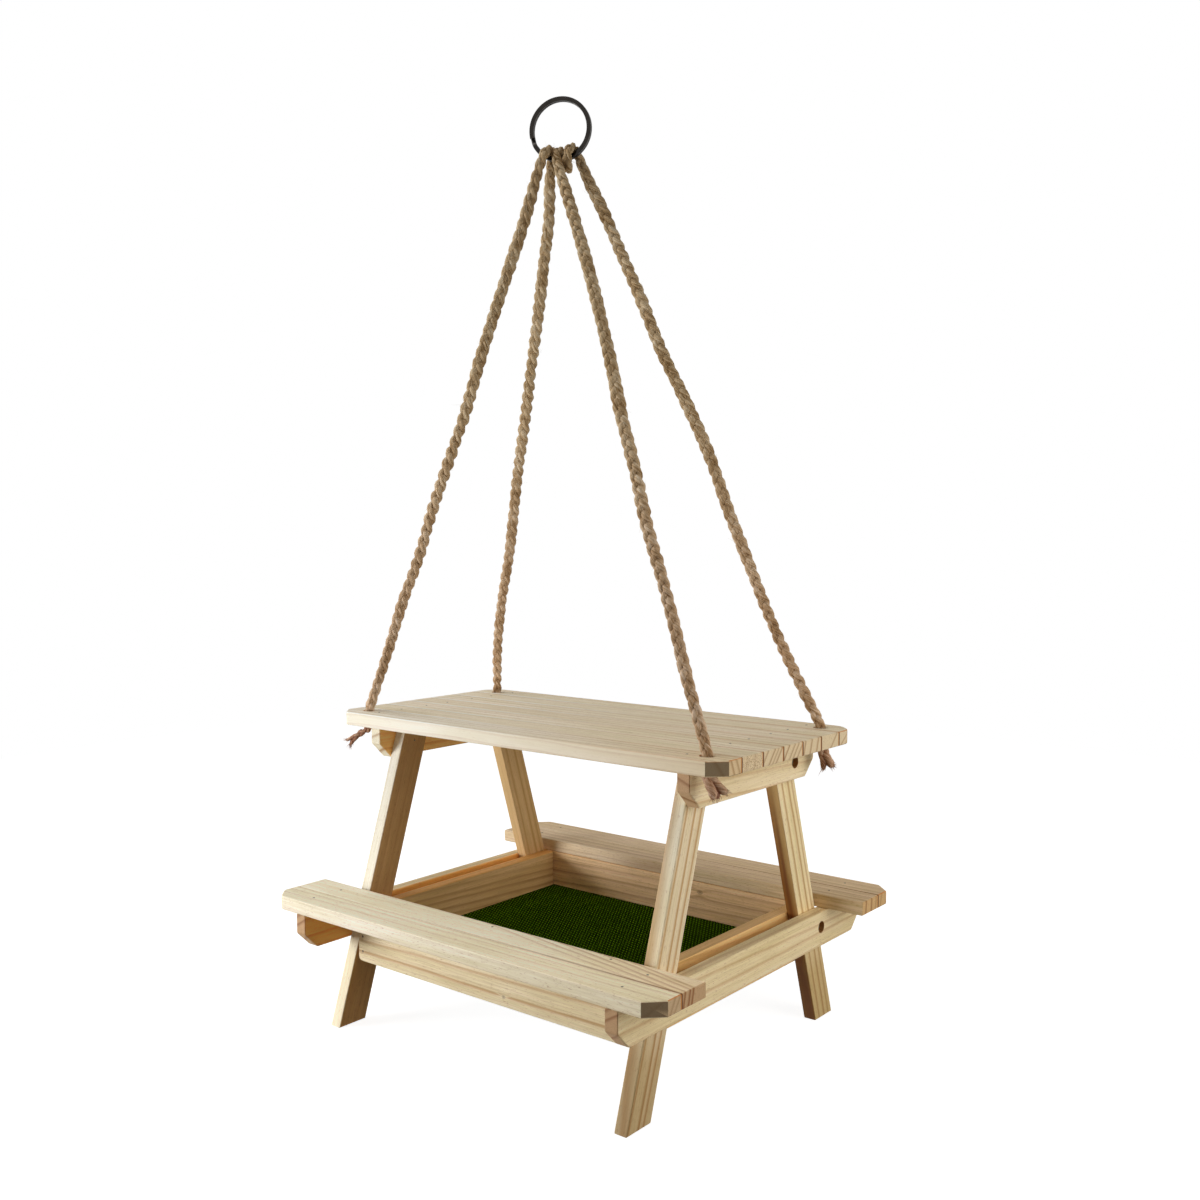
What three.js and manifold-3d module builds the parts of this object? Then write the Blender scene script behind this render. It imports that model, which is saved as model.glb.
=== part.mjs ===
// Hanging ground feeder for birds, made as a small picnic table, in millimetres.
// X runs along the table top, -Y is the front, +Z is up, and the feet stand on Z = 0.
// The origin is on the ground under the middle of the top.

import * as THREE from 'three';
import { mergeVertices } from 'three/addons/utils/BufferGeometryUtils.js';
import Module from 'manifold-3d';

const wasm = await Module();
wasm.setup();

// Stock: every board is sawn from the same pine, with its arrises just broken
const BOARD_T = 8.5;
const SLAT_W = 21;
const EASE = 0.5;
const SEAT_GAP = 0.2; // between boards that lie face to face
const FIT = 0.3; // round a piece that sits in a cut
const OVERRUN = 1; // how far a cutting tool passes the face it cuts

// Table top: slats laid side by side along X
const TOP_LENGTH = 300;
const TABLE_HEIGHT = 192.3;
const TOP_SLATS = 7;
const SLAT_GAP = 0.3;
const TOP_CORNER_CUT = 9;
const TOP_ROUNDING = { front: { left: 3, right: 0 }, back: { left: 4, right: 10 } }; // hand sanded
const ROPE_HOLE_D = 8;
const ROPE_HOLE_FROM_END = 16.6;
const ROPE_HOLE_FROM_EDGE = 13.4;

// Cleats under the top, outside the legs
const CLEAT_PAST_LEGS = 15.1; // at each end, from the top of the leg
const CLEAT_HEIGHT = 21.1;
const CLEAT_CORNER_CUT = 9.8;

// Splayed legs: two at each end, sawn level at the foot and at the top
const LEG_WIDTH = 20;
const LEG_SPLAY = THREE.MathUtils.degToRad(17.5);
const LEG_FROM_END = 32.7; // from the end of the top to the leg's outer face
const FOOT_FRONT_Y = 109;

// Seat rails and the two benches they carry
const SEAT_HEIGHT = 82.6;
const RAIL_LENGTH = 255.6;
const RAIL_HEIGHT = 21.4;
const RAIL_CORNER_CUT = 9.5;
const RAIL_ROUNDING = 2.5;
const BENCH_PAST_TOP = 0; // at each end
const BENCH_CORNER_CUT = 9.5;
const BENCH_ROUNDING = { front: { left: 4, right: 0 }, back: { left: 3, right: 1.5 } };

// Seed tray: four boards and a sheet of mesh let into a saw cut
const TRAY_BOARD_HEIGHT = 34.2;
const SIDE_BOARD_ROUNDING = 3; // at its lower corners
const SIDE_BOARD_INNER_Y = 85.7;
const SIDE_BOARD_END_GAP = 1.2; // from the end of a side board to the leg's inner face
const MESH_T = 1.2;
const MESH_ABOVE_EDGE = 8.2; // from the lower edge of the boards to the underside of the mesh
const GROOVE_DEPTH = 3;
const MESH_PITCH = 12;
const MESH_STRAND = 4.4;
const MESH_RIM = 4; // plain edge held in the saw cut
const MESH_LAY = THREE.MathUtils.degToRad(31); // the weave lies on the bias

// Wood screws through the rails and the cleats
const HEAD_D = 6.4;
const HEAD_RIM = 0.4;
const CONE_DEPTH = 2;
const SHANK_D = 3;
const POINT_LENGTH = 3;
const COUNTERBORE_D = 7.2;
const COUNTERBORE_DEPTH = 3;
const RAIL_SCREW_LENGTH = 20;
const CLEAT_SCREW_LENGTH = 15;
const RAIL_SCREW_ABOVE_EDGE = 12.1; // from the lower edge of the rail
const CLEAT_SCREW_ABOVE_EDGE = 10.4; // from the lower edge of the cleat

// Ropes, glued into the holes
const ROPE_D = 5.6;
const ROPE_GAP = 0.3; // between the cut face of a strand and the piece that lies over the ring
const GLUE_LENGTH = 7;

// Split ring: two turns of flat steel
const RING_OD = 40;
const RING_RADIAL = 2.8;
const RING_AXIAL = 1.5;
const RING_COIL_GAP = 0.45;
const RING_EDGE = 0.45; // rounding of the flat steel
const RING_CENTRE_X = -19.2;
const RING_CENTRE_Z = 560.4;
const RING_TURN = THREE.MathUtils.degToRad(24); // the ring's plane, turned from X about Z
const RING_END_ANGLE = THREE.MathUtils.degToRad(193); // where the front turn ends, from the right
const RING_STEP_ANGLE = THREE.MathUtils.degToRad(19); // over which the steel steps to the back turn
const RING_SWING_CLEARANCE = 0.35;

// Facets
const CORNER_STEPS = 4; // on a rounded corner of a board
const HOLE_SEGMENTS = 8; // per half turn of a hole
const SCREW_SEGMENTS = 10;
const ROPE_SIDES = 8;
const RING_STEPS = 84;

// Places that follow from the sizes above
const topUnderside = TABLE_HEIGHT - BOARD_T;
const topPitch = SLAT_W + SLAT_GAP;
const topWidth = TOP_SLATS * SLAT_W + (TOP_SLATS - 1) * SLAT_GAP;
const frameTop = topUnderside - SEAT_GAP;
const seatUnderside = SEAT_HEIGHT - BOARD_T;
const railTop = seatUnderside - SEAT_GAP;
const cleatBottom = frameTop - CLEAT_HEIGHT;
const railBottom = railTop - RAIL_HEIGHT;
const cleatScrewZ = cleatBottom + CLEAT_SCREW_ABOVE_EDGE;
const railScrewZ = railBottom + RAIL_SCREW_ABOVE_EDGE;
const cleatLength = 2 * (legFrontY(frameTop) + CLEAT_PAST_LEGS);
const legOuterX = TOP_LENGTH / 2 - LEG_FROM_END;
const legInnerX = legOuterX - BOARD_T;
const crossInnerX = legOuterX + SEAT_GAP;
const crossOuterX = crossInnerX + BOARD_T;
const legLevelWidth = LEG_WIDTH / Math.cos(LEG_SPLAY);
const benchInnerY = legFrontY(seatUnderside) + FIT;
const benchLength = TOP_LENGTH + 2 * BENCH_PAST_TOP;
const trayBottom = railTop - TRAY_BOARD_HEIGHT;
const sideBoardHalf = legInnerX - SIDE_BOARD_END_GAP;
const endBoardOuterX = legInnerX - SEAT_GAP;
const endBoardInnerX = endBoardOuterX - BOARD_T;
const meshUnderside = trayBottom + MESH_ABOVE_EDGE;
const holeX = TOP_LENGTH / 2 - ROPE_HOLE_FROM_END;
const holeY = topWidth / 2 - ROPE_HOLE_FROM_EDGE;
const ropeRadius = ROPE_D / 2;
const wireRadius = (RING_OD - RING_RADIAL) / 2;
const ringHalfAxial = RING_AXIAL + RING_COIL_GAP / 2;
const swingAxisZ = RING_CENTRE_Z - wireRadius;

const X = new THREE.Vector3(1, 0, 0);
const Y = new THREE.Vector3(0, 1, 0);
const Z = new THREE.Vector3(0, 0, 1);
const ringAlong = X.clone().applyAxisAngle(Z, RING_TURN);
const ringNormal = ringAlong.clone().cross(Z);

// Materials, as they look in daylight
const pine = new THREE.MeshStandardMaterial({ color: 0xdcc49a, roughness: 0.75, metalness: 0 });
const meshGreen = new THREE.MeshStandardMaterial({ color: 0x24340f, roughness: 0.6, metalness: 0 });
const zinc = new THREE.MeshStandardMaterial({ color: 0xb9b7a8, roughness: 0.4, metalness: 0.9 });
const hemp = new THREE.MeshStandardMaterial({ color: 0xa0865a, roughness: 0.95, metalness: 0 });
const clearGlue = new THREE.MeshStandardMaterial({ color: 0xd9cfa6, roughness: 0.3, metalness: 0 });
const blackSteel = new THREE.MeshStandardMaterial({ color: 0x15130f, roughness: 0.3, metalness: 0.8 });

const model = new THREE.Group();
const tableTop = new THREE.Group();
const endFrames = new THREE.Group();
const benches = new THREE.Group();
const seedTray = new THREE.Group();
const hangingRopes = new THREE.Group();
model.add(tableTop, endFrames, benches, seedTray, hangingRopes);

const sides = { left: -1, right: 1 };
const faces = { front: -1, back: 1 };

// The legs' outer edges lean in from the feet to the top
function legFrontY(z) {
  return FOOT_FRONT_Y - Math.tan(LEG_SPLAY) * z;
}

function legMiddleY(z) {
  return legFrontY(z) - legLevelWidth / 2;
}

function addMesh(parent, name, geometry, material) {
  const mesh = new THREE.Mesh(geometry, material);
  mesh.name = name;
  parent.add(mesh);
  return mesh;
}

function outlineShape(points) {
  return new THREE.Shape(points.map(([x, y]) => new THREE.Vector2(x, y)));
}

// An arc in place of a corner: it starts and ends where its circle touches the two sides
function roundedCorner(before, corner, after, radius) {
  const toBefore = before.clone().sub(corner).normalize();
  const toAfter = after.clone().sub(corner).normalize();
  const halfAngle = Math.acos(toBefore.dot(toAfter)) / 2;
  const middle = toBefore.clone().add(toAfter).setLength(radius / Math.sin(halfAngle)).add(corner);
  const start = toBefore.multiplyScalar(radius / Math.tan(halfAngle)).add(corner).sub(middle);
  const end = toAfter.multiplyScalar(radius / Math.tan(halfAngle)).add(corner).sub(middle);
  const turned = Math.atan2(start.cross(end), start.dot(end));
  const arc = [];
  for (let i = 0; i <= CORNER_STEPS; i += 1) {
    arc.push(start.clone().rotateAround(new THREE.Vector2(), turned * i / CORNER_STEPS).add(middle));
  }
  return arc;
}

// An outline from [x, y, radius] corners, where a radius of 0 or none leaves the corner sharp
function roundedShape(corners) {
  const points = corners.map(([x, y]) => new THREE.Vector2(x, y));
  const count = corners.length;
  const rounded = corners.flatMap(([, , radius = 0], i) => (radius > 0
    ? roundedCorner(points[(i + count - 1) % count], points[i], points[(i + 1) % count], radius)
    : [points[i]]));
  return new THREE.Shape(rounded);
}

// A board of the stock thickness, with its outline in XY and its arrises broken
function board(shape) {
  const geometry = new THREE.ExtrudeGeometry(shape, {
    depth: BOARD_T - 2 * EASE,
    bevelThickness: EASE,
    bevelSize: EASE,
    bevelOffset: -EASE,
    bevelSegments: 1,
    curveSegments: HOLE_SEGMENTS,
  });
  return geometry.translate(0, 0, EASE);
}

// Turns a mesh so that its own X, Y and Z point along the three given directions
function turn(mesh, alongX, alongY, alongZ) {
  mesh.quaternion.setFromRotationMatrix(new THREE.Matrix4().makeBasis(alongX, alongY, alongZ));
  return mesh;
}

function toSolid(geometry) {
  const plain = geometry.clone();
  plain.deleteAttribute('normal');
  plain.deleteAttribute('uv');
  const merged = mergeVertices(plain);
  const vertProperties = merged.attributes.position.array;
  const triVerts = new Uint32Array(merged.index.array);
  return new wasm.Manifold(new wasm.Mesh({ numProp: 3, vertProperties, triVerts }));
}

function toGeometry(solid) {
  const { vertProperties, triVerts } = solid.getMesh();
  const geometry = new THREE.BufferGeometry();
  geometry.setAttribute('position', new THREE.BufferAttribute(vertProperties, 3));
  geometry.setIndex(new THREE.BufferAttribute(triVerts, 1));
  geometry.computeVertexNormals();
  return geometry;
}

// Cuts a tool, placed in the model's frame, out of a mesh
function cut(mesh, tool) {
  mesh.updateWorldMatrix(true, false);
  const placed = tool.clone().applyMatrix4(mesh.matrixWorld.clone().invert());
  mesh.geometry = toGeometry(toSolid(mesh.geometry).subtract(toSolid(placed)));
}

// Table top

function slatOutline(length, cornerCut, outward, rounding) {
  const end = length / 2;
  const outer = outward * SLAT_W / 2;
  const inner = -outer;
  const cutY = outer - outward * cornerCut;
  return roundedShape([
    [-end, inner], [end, inner],
    [end, cutY, rounding.right], [end - cornerCut, outer, rounding.right],
    [cornerCut - end, outer, rounding.left], [-end, cutY, rounding.left],
  ]);
}

function plainSlat(length) {
  const end = length / 2;
  const edge = SLAT_W / 2;
  return outlineShape([[-end, -edge], [end, -edge], [end, edge], [-end, edge]]);
}

for (let i = 0; i < TOP_SLATS; i += 1) {
  const y = (i - (TOP_SLATS - 1) / 2) * topPitch;
  const face = i === 0 ? 'front' : 'back';
  const outward = faces[face];
  const isEdge = i === 0 || i === TOP_SLATS - 1;
  const shape = isEdge
    ? slatOutline(TOP_LENGTH, TOP_CORNER_CUT, outward, TOP_ROUNDING[face])
    : plainSlat(TOP_LENGTH);
  if (isEdge) {
    for (const side of Object.values(sides)) {
      const hole = new THREE.Path();
      hole.absarc(side * holeX, outward * holeY - y, ROPE_HOLE_D / 2, 0, 2 * Math.PI);
      shape.holes.push(hole);
    }
  }
  const slat = addMesh(tableTop, `top_slat_${i + 1}`, board(shape), pine);
  slat.position.set(0, y, topUnderside);
}

// End frames: two legs, a cleat under the top and a seat rail at each end

// A cross board in YZ, with its lower corners cut off at 45 degrees
function crossBoard(length, height, cornerCut, rounding) {
  const end = length / 2;
  return roundedShape([
    [-end, height], [-end, cornerCut, rounding], [cornerCut - end, 0, rounding],
    [end - cornerCut, 0, rounding], [end, cornerCut, rounding], [end, height],
  ]);
}

function legOutline(face) {
  return outlineShape([
    [face * legFrontY(0), 0],
    [face * legFrontY(frameTop), frameTop],
    [face * (legFrontY(frameTop) - legLevelWidth), frameTop],
    [face * (legFrontY(0) - legLevelWidth), 0],
  ]);
}

// Places a board whose outline is in YZ, with its faces at innerX and innerX + BOARD_T from the middle
function placeAcross(mesh, side, innerX, z) {
  turn(mesh, Y, Z, X);
  mesh.position.set(side > 0 ? innerX : -innerX - BOARD_T, 0, z);
}

const screwedRails = {};
const screwedCleats = {};
const legs = {};
for (const [sideName, side] of Object.entries(sides)) {
  for (const [faceName, face] of Object.entries(faces)) {
    const leg = addMesh(endFrames, `leg_${faceName}_${sideName}`, board(legOutline(face)), pine);
    placeAcross(leg, side, legInnerX, 0);
    legs[`${faceName}_${sideName}`] = leg;
  }
  const cleatShape = crossBoard(cleatLength, CLEAT_HEIGHT, CLEAT_CORNER_CUT, 0);
  const cleat = addMesh(endFrames, `top_cleat_${sideName}`, board(cleatShape), pine);
  placeAcross(cleat, side, crossInnerX, cleatBottom);
  screwedCleats[sideName] = cleat;
  const railShape = crossBoard(RAIL_LENGTH, RAIL_HEIGHT, RAIL_CORNER_CUT, RAIL_ROUNDING);
  const rail = addMesh(endFrames, `seat_rail_${sideName}`, board(railShape), pine);
  placeAcross(rail, side, crossInnerX, railBottom);
  screwedRails[sideName] = rail;
}

// Benches: two slats each, the inner one butted on the legs

for (const [faceName, face] of Object.entries(faces)) {
  const innerY = face * (benchInnerY + SLAT_W / 2);
  const outerY = innerY + face * topPitch;
  const inner = addMesh(benches, `bench_${faceName}_inner`, board(plainSlat(benchLength)), pine);
  inner.position.set(0, innerY, seatUnderside);
  const outerShape = slatOutline(benchLength, BENCH_CORNER_CUT, face, BENCH_ROUNDING[faceName]);
  const outer = addMesh(benches, `bench_${faceName}_outer`, board(outerShape), pine);
  outer.position.set(0, outerY, seatUnderside);
}

// Seed tray

function trayBoard(halfLength, rounding) {
  return roundedShape([
    [-halfLength, 0, rounding], [halfLength, 0, rounding],
    [halfLength, TRAY_BOARD_HEIGHT], [-halfLength, TRAY_BOARD_HEIGHT],
  ]);
}

const grooveHeight = MESH_T + 2 * FIT;
const grooveWidthX = 2 * (endBoardInnerX + GROOVE_DEPTH);
const grooveWidthY = 2 * (SIDE_BOARD_INNER_Y + GROOVE_DEPTH);
const grooveZ = meshUnderside - FIT + grooveHeight / 2;
const endGroove = new THREE.BoxGeometry(grooveWidthX, grooveWidthY, grooveHeight);
endGroove.translate(0, 0, grooveZ);
const sideGroove = new THREE.BoxGeometry(2 * (sideBoardHalf + OVERRUN), grooveWidthY, grooveHeight);
sideGroove.translate(0, 0, grooveZ);

for (const [faceName, face] of Object.entries(faces)) {
  const name = `tray_side_board_${faceName}`;
  const sideBoard = addMesh(seedTray, name, board(trayBoard(sideBoardHalf, SIDE_BOARD_ROUNDING)), pine);
  turn(sideBoard, X, Z, Y.clone().negate());
  sideBoard.position.set(0, face > 0 ? SIDE_BOARD_INNER_Y + BOARD_T : -SIDE_BOARD_INNER_Y, trayBottom);
  cut(sideBoard, sideGroove);
}

const endBoards = {};
for (const [sideName, side] of Object.entries(sides)) {
  const endShape = trayBoard(SIDE_BOARD_INNER_Y - SEAT_GAP, 0);
  const endBoard = addMesh(seedTray, `tray_end_board_${sideName}`, board(endShape), pine);
  placeAcross(endBoard, side, endBoardInnerX, trayBottom);
  cut(endBoard, endGroove);
  endBoards[sideName] = endBoard;
}

// The mesh is a sheet of crossed strands on the bias, drawn here with wider gaps than the real weave
function meshSheet() {
  const halfX = endBoardInnerX + GROOVE_DEPTH - FIT;
  const halfY = SIDE_BOARD_INNER_Y + GROOVE_DEPTH - FIT;
  const sheet = new THREE.BoxGeometry(2 * halfX, 2 * halfY, MESH_T);
  const gap = MESH_PITCH - MESH_STRAND;
  const cornerReach = gap * Math.SQRT1_2;
  const opening = new THREE.BoxGeometry(gap, gap, MESH_T + 2 * OVERRUN);
  const reach = Math.ceil(Math.hypot(halfX, halfY) / MESH_PITCH);
  let solid = toSolid(sheet);
  for (let i = -reach; i <= reach; i += 1) {
    for (let j = -reach; j <= reach; j += 1) {
      const centre = new THREE.Vector3(i * MESH_PITCH, j * MESH_PITCH, 0).applyAxisAngle(Z, MESH_LAY);
      const clearX = Math.abs(centre.x) + cornerReach < halfX - MESH_RIM;
      const clearY = Math.abs(centre.y) + cornerReach < halfY - MESH_RIM;
      if (clearX && clearY) {
        const tool = opening.clone().rotateZ(MESH_LAY).translate(centre.x, centre.y, 0);
        solid = solid.subtract(toSolid(tool));
      }
    }
  }
  return toGeometry(solid);
}

const meshNode = addMesh(seedTray, 'tray_mesh', meshSheet(), meshGreen);
meshNode.position.set(0, 0, meshUnderside + MESH_T / 2);

// Screws: countersunk heads in counterbores, the long ones reaching the tray's end boards

// Half outline of a screw of this length, grown all round, from the head down to the point
function screwProfile(length, grow) {
  const head = HEAD_D / 2 + grow;
  const shank = SHANK_D / 2 + grow;
  return [
    [head, 0], [head, -HEAD_RIM], [shank, -HEAD_RIM - CONE_DEPTH],
    [shank, POINT_LENGTH - length], [0, -length - grow],
  ];
}

function lathe(profile) {
  return new THREE.LatheGeometry(profile.map(([r, y]) => new THREE.Vector2(r, y)).reverse(), SCREW_SEGMENTS);
}

function screwGeometry(length) {
  return lathe([[0, 0], ...screwProfile(length, 0)]);
}

function screwTool(length) {
  const mouth = COUNTERBORE_DEPTH + OVERRUN;
  const bore = COUNTERBORE_D / 2;
  return lathe([[0, mouth], [bore, mouth], [bore, 0], ...screwProfile(length, FIT)]);
}

function addScrew(name, side, y, z, length, pieces) {
  const screw = addMesh(endFrames, name, screwGeometry(length), zinc);
  screw.quaternion.setFromUnitVectors(Y, X.clone().multiplyScalar(side));
  screw.position.set(side * (crossOuterX - COUNTERBORE_DEPTH), y, z);
  screw.updateWorldMatrix(true, false);
  const tool = screwTool(length).applyMatrix4(screw.matrixWorld);
  for (const piece of pieces) {
    cut(piece, tool);
  }
}

for (const [sideName, side] of Object.entries(sides)) {
  for (const [faceName, face] of Object.entries(faces)) {
    const place = `${faceName}_${sideName}`;
    const leg = legs[place];
    const railY = face * legMiddleY(railScrewZ);
    const railPieces = [screwedRails[sideName], leg, endBoards[sideName]];
    addScrew(`rail_screw_${place}`, side, railY, railScrewZ, RAIL_SCREW_LENGTH, railPieces);
    const cleatY = face * legMiddleY(cleatScrewZ);
    const cleatPieces = [screwedCleats[sideName], leg];
    addScrew(`cleat_screw_${place}`, side, cleatY, cleatScrewZ, CLEAT_SCREW_LENGTH, cleatPieces);
  }
}

// Sections swept along a route

// A curve that passes its listed points at even steps, so that a sweep has a ring at each of them
class Route extends THREE.CatmullRomCurve3 {
  getUtoTmapping(u) {
    return u;
  }
}

function roundSection(radius, count) {
  const corners = [];
  for (let i = 0; i < count; i += 1) {
    const angle = 2 * Math.PI * i / count;
    corners.push(new THREE.Vector2(radius * Math.cos(angle), radius * Math.sin(angle)));
  }
  return new THREE.Shape(corners);
}

function sweep(section, route, steps) {
  return new THREE.ExtrudeGeometry(section, { extrudePath: route, steps, bevelEnabled: false });
}

// The corners of each section along a route, to measure gaps on
function sectionRings(section, route, steps) {
  const frames = route.computeFrenetFrames(steps, false);
  const corners = section.getPoints();
  const rings = [];
  for (let i = 0; i <= steps; i += 1) {
    const centre = route.getPointAt(i / steps);
    rings.push(corners.map((corner) => centre.clone()
      .addScaledVector(frames.normals[i], corner.x)
      .addScaledVector(frames.binormals[i], corner.y)));
  }
  return rings;
}

// The least distance between corners of two lists of rings; on one list, only rings this far apart count
function leastGap(ringsA, ringsB, apart) {
  let least = Infinity;
  ringsA.forEach((ringA, i) => {
    ringsB.forEach((ringB, j) => {
      if (ringsA === ringsB && Math.abs(i - j) < apart) return;
      for (const a of ringA) {
        for (const b of ringB) {
          least = Math.min(least, a.distanceTo(b));
        }
      }
    });
  });
  return least;
}

// Split ring, in its own plane: X to the right, Y up, Z along its axis

class RingRoute extends THREE.Curve {
  getPoint(t, target = new THREE.Vector3()) {
    const sweepAngle = (4 * Math.PI - RING_STEP_ANGLE) * t;
    const intoStep = (sweepAngle - 2 * Math.PI + RING_STEP_ANGLE) / RING_STEP_ANGLE;
    const stepped = THREE.MathUtils.smoothstep(intoStep, 0, 1);
    const axial = (RING_AXIAL + RING_COIL_GAP) * (0.5 - stepped);
    const angle = RING_END_ANGLE - sweepAngle;
    return target.set(wireRadius * Math.cos(angle), wireRadius * Math.sin(angle), axial);
  }

  getUtoTmapping(u) {
    return u;
  }
}

function ringSection() {
  const halfAxial = RING_AXIAL / 2;
  const halfRadial = RING_RADIAL / 2;
  return outlineShape([
    [halfAxial - RING_EDGE, -halfRadial], [halfAxial, RING_EDGE - halfRadial],
    [halfAxial, halfRadial - RING_EDGE], [halfAxial - RING_EDGE, halfRadial],
    [RING_EDGE - halfAxial, halfRadial], [-halfAxial, halfRadial - RING_EDGE],
    [-halfAxial, RING_EDGE - halfRadial], [RING_EDGE - halfAxial, -halfRadial],
  ]);
}

const ringRoute = new RingRoute();
const ring = addMesh(model, 'split_ring', sweep(ringSection(), ringRoute, RING_STEPS), blackSteel);
turn(ring, ringAlong, Z, ringNormal);
ring.position.set(RING_CENTRE_X, 0, RING_CENTRE_Z);
const coilRings = sectionRings(ringSection(), ringRoute, RING_STEPS);
const coilGap = leastGap(coilRings, coilRings, RING_STEPS / 4);
console.log(`least gap between the ring's turns: ${coilGap.toFixed(2)} mm`);

// Ropes. Where they pass over the ring they lie round the line on which the ring swings:
// s is the place along that line, and the angle is counted from straight up towards the front.

// How far the steel reaches from the swing line beside a rope at this place, whichever way the ring leans
const BESIDE_SHARE = 0.55; // how far out on the rope's side the steel comes nearest, as a share of its radius
function ringReach(s) {
  const beside = Math.abs(s) + BESIDE_SHARE * ropeRadius;
  const rise = wireRadius - Math.sqrt(wireRadius * wireRadius - beside * beside);
  return Math.hypot(rise + RING_RADIAL / 2 - RING_EDGE, ringHalfAxial - RING_EDGE) + RING_EDGE;
}

function overRing(s, degrees) {
  const angle = THREE.MathUtils.degToRad(degrees);
  const radius = ringReach(s) + RING_SWING_CLEARANCE + ropeRadius;
  return new THREE.Vector3(RING_CENTRE_X, 0, swingAxisZ)
    .addScaledVector(ringAlong, s)
    .addScaledVector(ringNormal, radius * Math.sin(angle))
    .addScaledVector(Z, radius * Math.cos(angle));
}

// The left rope goes over the ring once, the right rope once round it: [s, degrees]
const LEFT_OVER = [
  [-9.2, 88], [-8.1, 66], [-7.4, 44], [-7, 22], [-6.9, 0], [-7, -25], [-7.3, -50], [-7.9, -73],
];
const RIGHT_START = [[-1.6, 73], [-1.5, 48], [-1, 24]];
const RIGHT_TURN_FROM = -0.4;
const RIGHT_TURN_PITCH = 8;
const RIGHT_TURN_BULGE = 1; // how far the turn leads its even pitch as it comes up the front
const RIGHT_TURN_STEPS = 16;
const RIGHT_END = [[8.1, -385], [8.9, -410], [9.7, -432], [10.6, -451]];

const rightTurns = [];
for (let i = 0; i <= RIGHT_TURN_STEPS; i += 1) {
  const share = i / RIGHT_TURN_STEPS;
  const lead = RIGHT_TURN_BULGE * Math.sin(Math.PI * share);
  rightTurns.push([RIGHT_TURN_FROM + RIGHT_TURN_PITCH * share + lead, -360 * share]);
}
const RIGHT_OVER = [...RIGHT_START, ...rightTurns, ...RIGHT_END];

// Each strand: its hole, how it sways to the right of a straight line (as [share of the way up, mm]),
// and its tail below the top as steps [outward, down] from the middle of the hole's lower end
const STRANDS = {
  front_left: {
    side: -1,
    face: -1,
    leaves: LEFT_OVER[0],
    sway: [
      [0.05, -0.2], [0.12, 0], [0.21, -0.5], [0.29, 0.9], [0.38, 0.1], [0.47, 0.8],
      [0.56, 1.6], [0.66, 0.5], [0.74, 0.5], [0.82, 0.8], [0.9, 1.1],
    ],
    tail: [[21.4, 15.4], [17.3, 12.5], [12.6, 9.4], [7.6, 6.6], [3.4, 4.8], [0.9, 2.7]],
  },
  back_left: {
    side: -1,
    face: 1,
    leaves: LEFT_OVER.at(-1),
    sway: [
      [0.04, -1.4], [0.1, -3.2], [0.2, -3.4], [0.29, -1.6], [0.38, -1.4], [0.46, -1.3],
      [0.56, -0.1], [0.66, 0.5], [0.75, 1.5], [0.84, 1.7], [0.92, 2],
    ],
    tail: [[4.6, 14], [3.4, 10], [2, 6.4], [0.6, 2.8]],
  },
  front_right: {
    side: 1,
    face: -1,
    leaves: RIGHT_OVER[0],
    sway: [
      [0.05, 0.1], [0.11, -0.4], [0.19, 0], [0.27, -0.3], [0.35, -1.3], [0.44, -0.1],
      [0.53, 0], [0.62, 1.6], [0.72, 2.4], [0.82, 2.3], [0.91, 1.2],
    ],
    tail: [[8, 12.6], [5.8, 9.4], [3.2, 6.2], [1, 2.8]],
  },
  back_right: {
    side: 1,
    face: 1,
    leaves: RIGHT_OVER.at(-1),
    sway: [
      [0.06, -0.8], [0.13, -2.1], [0.2, -2.3], [0.29, -1.2], [0.38, 0.1], [0.48, 2.7],
      [0.58, 2.2], [0.67, 0.5], [0.76, 1.5], [0.85, 1.2], [0.92, 1.2],
    ],
    tail: [[6.4, 15.6], [4.8, 11.4], [2.6, 7], [0.7, 3]],
  },
};
const swayRight = new THREE.Vector3(0.78, 0.625, 0);

function strandParts(strand) {
  const hole = new THREE.Vector3(strand.side * holeX, strand.face * holeY, TABLE_HEIGHT);
  const leave = overRing(...strand.leaves);
  const down = hole.clone().sub(leave).normalize();
  return { hole, leave, down };
}

// A strand from the tip of its tail, up through the hole, to the cut face near the ring
function strandRoute(strand) {
  const { hole, leave, down } = strandParts(strand);
  const points = strand.tail.map(([out, drop]) => (
    new THREE.Vector3(hole.x + strand.side * out, hole.y, topUnderside - drop)));
  points.push(new THREE.Vector3(hole.x, hole.y, topUnderside));
  points.push(new THREE.Vector3(hole.x, hole.y, TABLE_HEIGHT));
  const top = leave.clone().addScaledVector(down, ROPE_D + ROPE_GAP);
  for (const [share, sway] of strand.sway) {
    points.push(hole.clone().lerp(top, share).addScaledVector(swayRight, sway));
  }
  points.push(top.clone().addScaledVector(down, ROPE_D));
  points.push(top);
  return new Route(points);
}

// The piece of rope over the ring between two strands, with a straight end towards each
function overRoute(places, strandA, strandB) {
  const first = strandParts(strandA);
  const last = strandParts(strandB);
  return new Route([
    first.leave.clone().addScaledVector(first.down, ROPE_D),
    ...places.map(([s, degrees]) => overRing(s, degrees)),
    last.leave.clone().addScaledVector(last.down, ROPE_D),
  ]);
}

const ropeSection = roundSection(ropeRadius, ROPE_SIDES);
const strandRings = {};
for (const [place, strand] of Object.entries(STRANDS)) {
  const route = strandRoute(strand);
  const steps = route.points.length - 1;
  addMesh(hangingRopes, `rope_${place}`, sweep(ropeSection, route, steps), hemp);
  strandRings[place] = sectionRings(ropeSection, route, steps);
  console.log(`rope_${place} is ${route.getLength().toFixed(1)} mm long`);
}

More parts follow.
